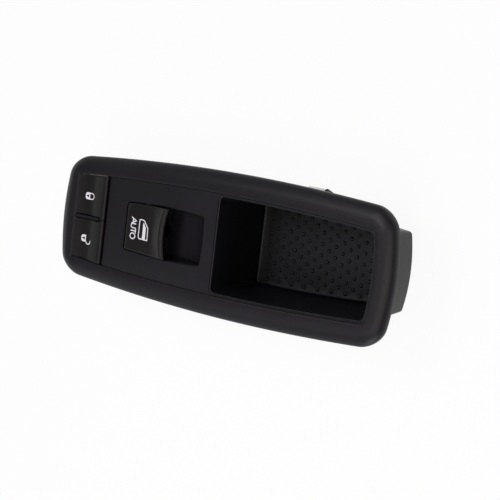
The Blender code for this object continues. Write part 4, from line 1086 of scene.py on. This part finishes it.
def tint(tree, shader, source, colour, low, high):
    """Lets a texture drive the base colour, between this share of the colour and that."""
    made = add_node(tree, "ValToRGB")
    for element, place, share in zip(made.color_ramp.elements, (0.35, 0.65), (low, high)):
        element.position = place
        element.color = (*[c * share for c in colour], 1)
    link(source, made.inputs["Fac"])
    link(made.outputs["Color"], shader.inputs["Base Color"])


def gloss(tree, shader, source, low, high):
    """Lets a texture drive the roughness between two values."""
    made = add_node(tree, "MapRange", To_Min=low, To_Max=high)
    link(source, made.inputs["Value"])
    link(made.outputs["Result"], shader.inputs["Roughness"])


def bump(tree, shader, source, strength, distance):
    made = add_node(tree, "Bump", Strength=strength, Distance=distance)
    link(source, made.inputs["Height"])
    link(made.outputs["Normal"], shader.inputs["Normal"])


def plastic(name, colour, roughness, grain=0.35, spread=0.12, shine=0.5):
    """Moulded plastic: fine spark-eroded grain, with a slight drift of tone and gloss."""
    made, tree, shader = new_material(name)
    fine, broad = noise(tree, 2600, 3), noise(tree, 60, 2)
    tint(tree, shader, broad, colour, 1 - spread, 1 + spread)
    gloss(tree, shader, fine, roughness - 0.05, roughness + 0.07)
    fill(shader, Specular_IOR_Level=shine)
    bump(tree, shader, fine, grain, 0.02 * MM)
    return made


def metal(name, colour, roughness, stretch=(1, 40, 1)):
    """Rolled metal strip with faint drawing marks."""
    made, tree, shader = new_material(name)
    lines = noise(tree, 900, 3, stretch)
    tint(tree, shader, lines, colour, 0.88, 1)
    fill(shader, Metallic=1.0)
    gloss(tree, shader, lines, roughness - 0.06, roughness + 0.1)
    bump(tree, shader, lines, 0.25, 0.01 * MM)
    return made


def rubber(name, colour, roughness):
    """Matte rubber with a fine uneven skin."""
    made, tree, shader = new_material(name)
    fine = noise(tree, 1500, 4)
    tint(tree, shader, fine, colour, 0.85, 1.15)
    fill(shader, Roughness=roughness, Specular_IOR_Level=0.22)
    bump(tree, shader, fine, 0.3, 0.03 * MM)
    return made


def solder_mask(name):
    """Green board lacquer over faint straight tracks."""
    made, tree, shader = new_material(name)
    place = add_node(tree, "TexCoord")
    brick = add_node(
        tree, "TexBrick", Scale=180, Mortar_Size=0.03, Mortar=(0.04, 0.2, 0.09, 1),
        Color1=(0.012, 0.1, 0.04, 1), Color2=(0.016, 0.12, 0.05, 1),
    )
    link(place.outputs["Object"], brick.inputs["Vector"])
    link(brick.outputs["Color"], shader.inputs["Base Color"])
    fill(shader, Roughness=0.3)
    return made


def painted(name, colour):
    """White pad-printed paint."""
    made, tree, shader = new_material(name)
    tint(tree, shader, noise(tree, 3000, 2), colour, 0.94, 1)
    fill(shader, Roughness=0.5)
    return made


def seen_rays(tree):
    """1 for rays from the camera, mirror rays and rays through clear pieces, and 0 for the others."""
    rays = add_node(tree, "LightPath")
    total = rays.outputs["Is Camera Ray"]
    for kind in ("Is Glossy Ray", "Is Transmission Ray"):
        either = add_node(tree, "Math")
        either.operation = "MAXIMUM"
        link(total, either.inputs[0])
        link(rays.outputs[kind], either.inputs[1])
        total = either.outputs["Value"]
    return total


def floor_material():
    """White paper that keeps a soft shadow and shows white to the camera and in reflections."""
    made, tree, shader = new_material("floor_white")
    fill(shader, Base_Color=(0.85, 0.85, 0.85, 1), Roughness=0.9)
    glow = add_node(tree, "Emission")
    share = add_node(tree, "Math")
    share.operation = "MULTIPLY"
    share.inputs[1].default_value = FLOOR_GLOW
    mix = add_node(tree, "MixShader")
    link(seen_rays(tree), share.inputs[0])
    link(share.outputs["Value"], mix.inputs["Fac"])
    link(shader.outputs["BSDF"], mix.inputs[1])
    link(glow.outputs["Emission"], mix.inputs[2])
    link(mix.outputs["Shader"], tree.nodes["Material Output"].inputs["Surface"])
    return made


def soft_lamp(name, bearing, rise, power, colour):
    """A square lamp that looks at the panel from this bearing and rise."""
    data = bpy.data.lights.new(name, "AREA")
    data.size = LAMP_SIZE
    data.energy = power
    data.color = colour
    turn, lift = math.radians(bearing), math.radians(rise)
    way = Vector((math.cos(lift) * math.cos(turn), math.cos(lift) * math.sin(turn), math.sin(lift)))
    made = placed(name, data)
    made.location = way * LAMP_REACH + Vector((0, 0, LAMP_AIM_Z))
    made.rotation_euler = way.to_track_quat("Z", "Y").to_euler()


def stage():
    """The floor with its backdrop all round, the world, the lamps and the camera."""
    sweep = [
        (FLOOR_RADIUS + SWEEP_RADIUS * math.sin(turn), SWEEP_RADIUS - SWEEP_RADIUS * math.cos(turn))
        for turn in (0, 0.3, 0.6, 0.9, 1.2, 1.5)
    ]
    profile = [(0.5, 0), *sweep, (3.2, 1.6), (3.3, 1.6), (3.3, -0.1), (0.5, -0.1)]
    mesh = mesh_of("studio", turned(profile, (0, 0), 96))
    mesh.materials.append(floor_material())
    mesh.shade_smooth()
    mesh.set_sharp_from_angle(angle=math.radians(30))
    ground = placed("studio", mesh)
    ground.location = (0, 0, -FLOOR_SINK)

    world = bpy.data.worlds.new("studio")
    bpy.context.scene.world = world
    world.use_nodes = True
    fill(world.node_tree.nodes["Background"], Color=(1, 1, 1, 1), Strength=WORLD_STRENGTH)

    for lamp in LAMPS:
        soft_lamp(*lamp)

    data = bpy.data.cameras.new("camera")
    data.lens = CAMERA_LENS
    data.sensor_width = 36
    data.clip_start = 0.01
    data.clip_end = 20
    camera = placed("camera", data)
    camera.location = CAMERA_PLACE
    camera.rotation_euler = [math.radians(turn) for turn in CAMERA_TURN]
    bpy.context.scene.camera = camera
    bpy.context.scene.view_settings.view_transform = "Standard"


def dress(frame):
    """Builds the visible shells and markings, and gives the other solids their materials."""
    knob_look = plastic("knob_plastic", (0.0056, 0.0047, 0.0049), 0.36, shine=0.25)
    led_look = plastic("led_lens", (0.85, 0.85, 0.8), 0.25, 0.05, 0.02)
    silicone = rubber("silicone", (0.5, 0.5, 0.48), 0.5)
    steel = metal("spring_steel", (0.62, 0.62, 0.6), 0.3)
    pin_steel = metal("oiled_steel", (0.16, 0.16, 0.16), 0.35)
    tin = metal("tinned_brass", (0.75, 0.68, 0.45), 0.35, (1, 1, 30))
    paint = painted("white_paint", (0.78, 0.78, 0.8))

    bezel_shell(plastic("bezel_plastic", (0.0056, 0.0048, 0.0074), 0.4, shine=0.24))
    panel_shell(plastic("panel_plastic", (0.0052, 0.0045, 0.007), 0.42, shine=0.24))
    studded_mat(rubber("mat_rubber", (0.0045, 0.0041, 0.0053), 0.45))
    knob_shell(knob_look)
    key_shell("lock_key_shell", "lock_button", 1, knob_look)
    key_shell("unlock_key_shell", "unlock_button", -1, knob_look)
    clip_strip("clip_strip_upper", "spring_clip_upper", 1, steel)
    clip_strip("clip_strip_lower", "spring_clip_lower", -1, steel)
    for number, place in enumerate(screw_places(), 1):
        screw_shell(number, place, steel)
    padlock("lock_mark", LOCK_MARK_PLACE, False, paint, knob_look, "lock_button")
    padlock("unlock_mark", UNLOCK_MARK_PLACE, True, paint, knob_look, "unlock_button")
    knob_marks(paint)

    looks = {
        "switch_housing": plastic("case_plastic", (0.03, 0.03, 0.032), 0.45, 0.2),
        "housing_cover": plastic("cover_plastic", (0.05, 0.05, 0.055), 0.45, 0.2),
        "connector_header": plastic("header_plastic", (0.6, 0.58, 0.52), 0.45, 0.15, 0.05),
        "circuit_board": solder_mask("board"), "rocker_pivot_pin": pin_steel, "key_hinge_pin": pin_steel,
        "lock_led": led_look, "unlock_led": led_look, "window_led": led_look,
    }
    for name, node in frame["nodes"].items():
        look = looks.get(name)
        if name.startswith("terminal_pin"):
            look = tin
        elif name.endswith("_dome"):
            look = silicone
        if look is not None:
            node.data.materials.clear()
            node.data.materials.append(look)


def main():
    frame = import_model()
    dress(frame)
    stage()
    bpy.context.view_layer.update()


main()
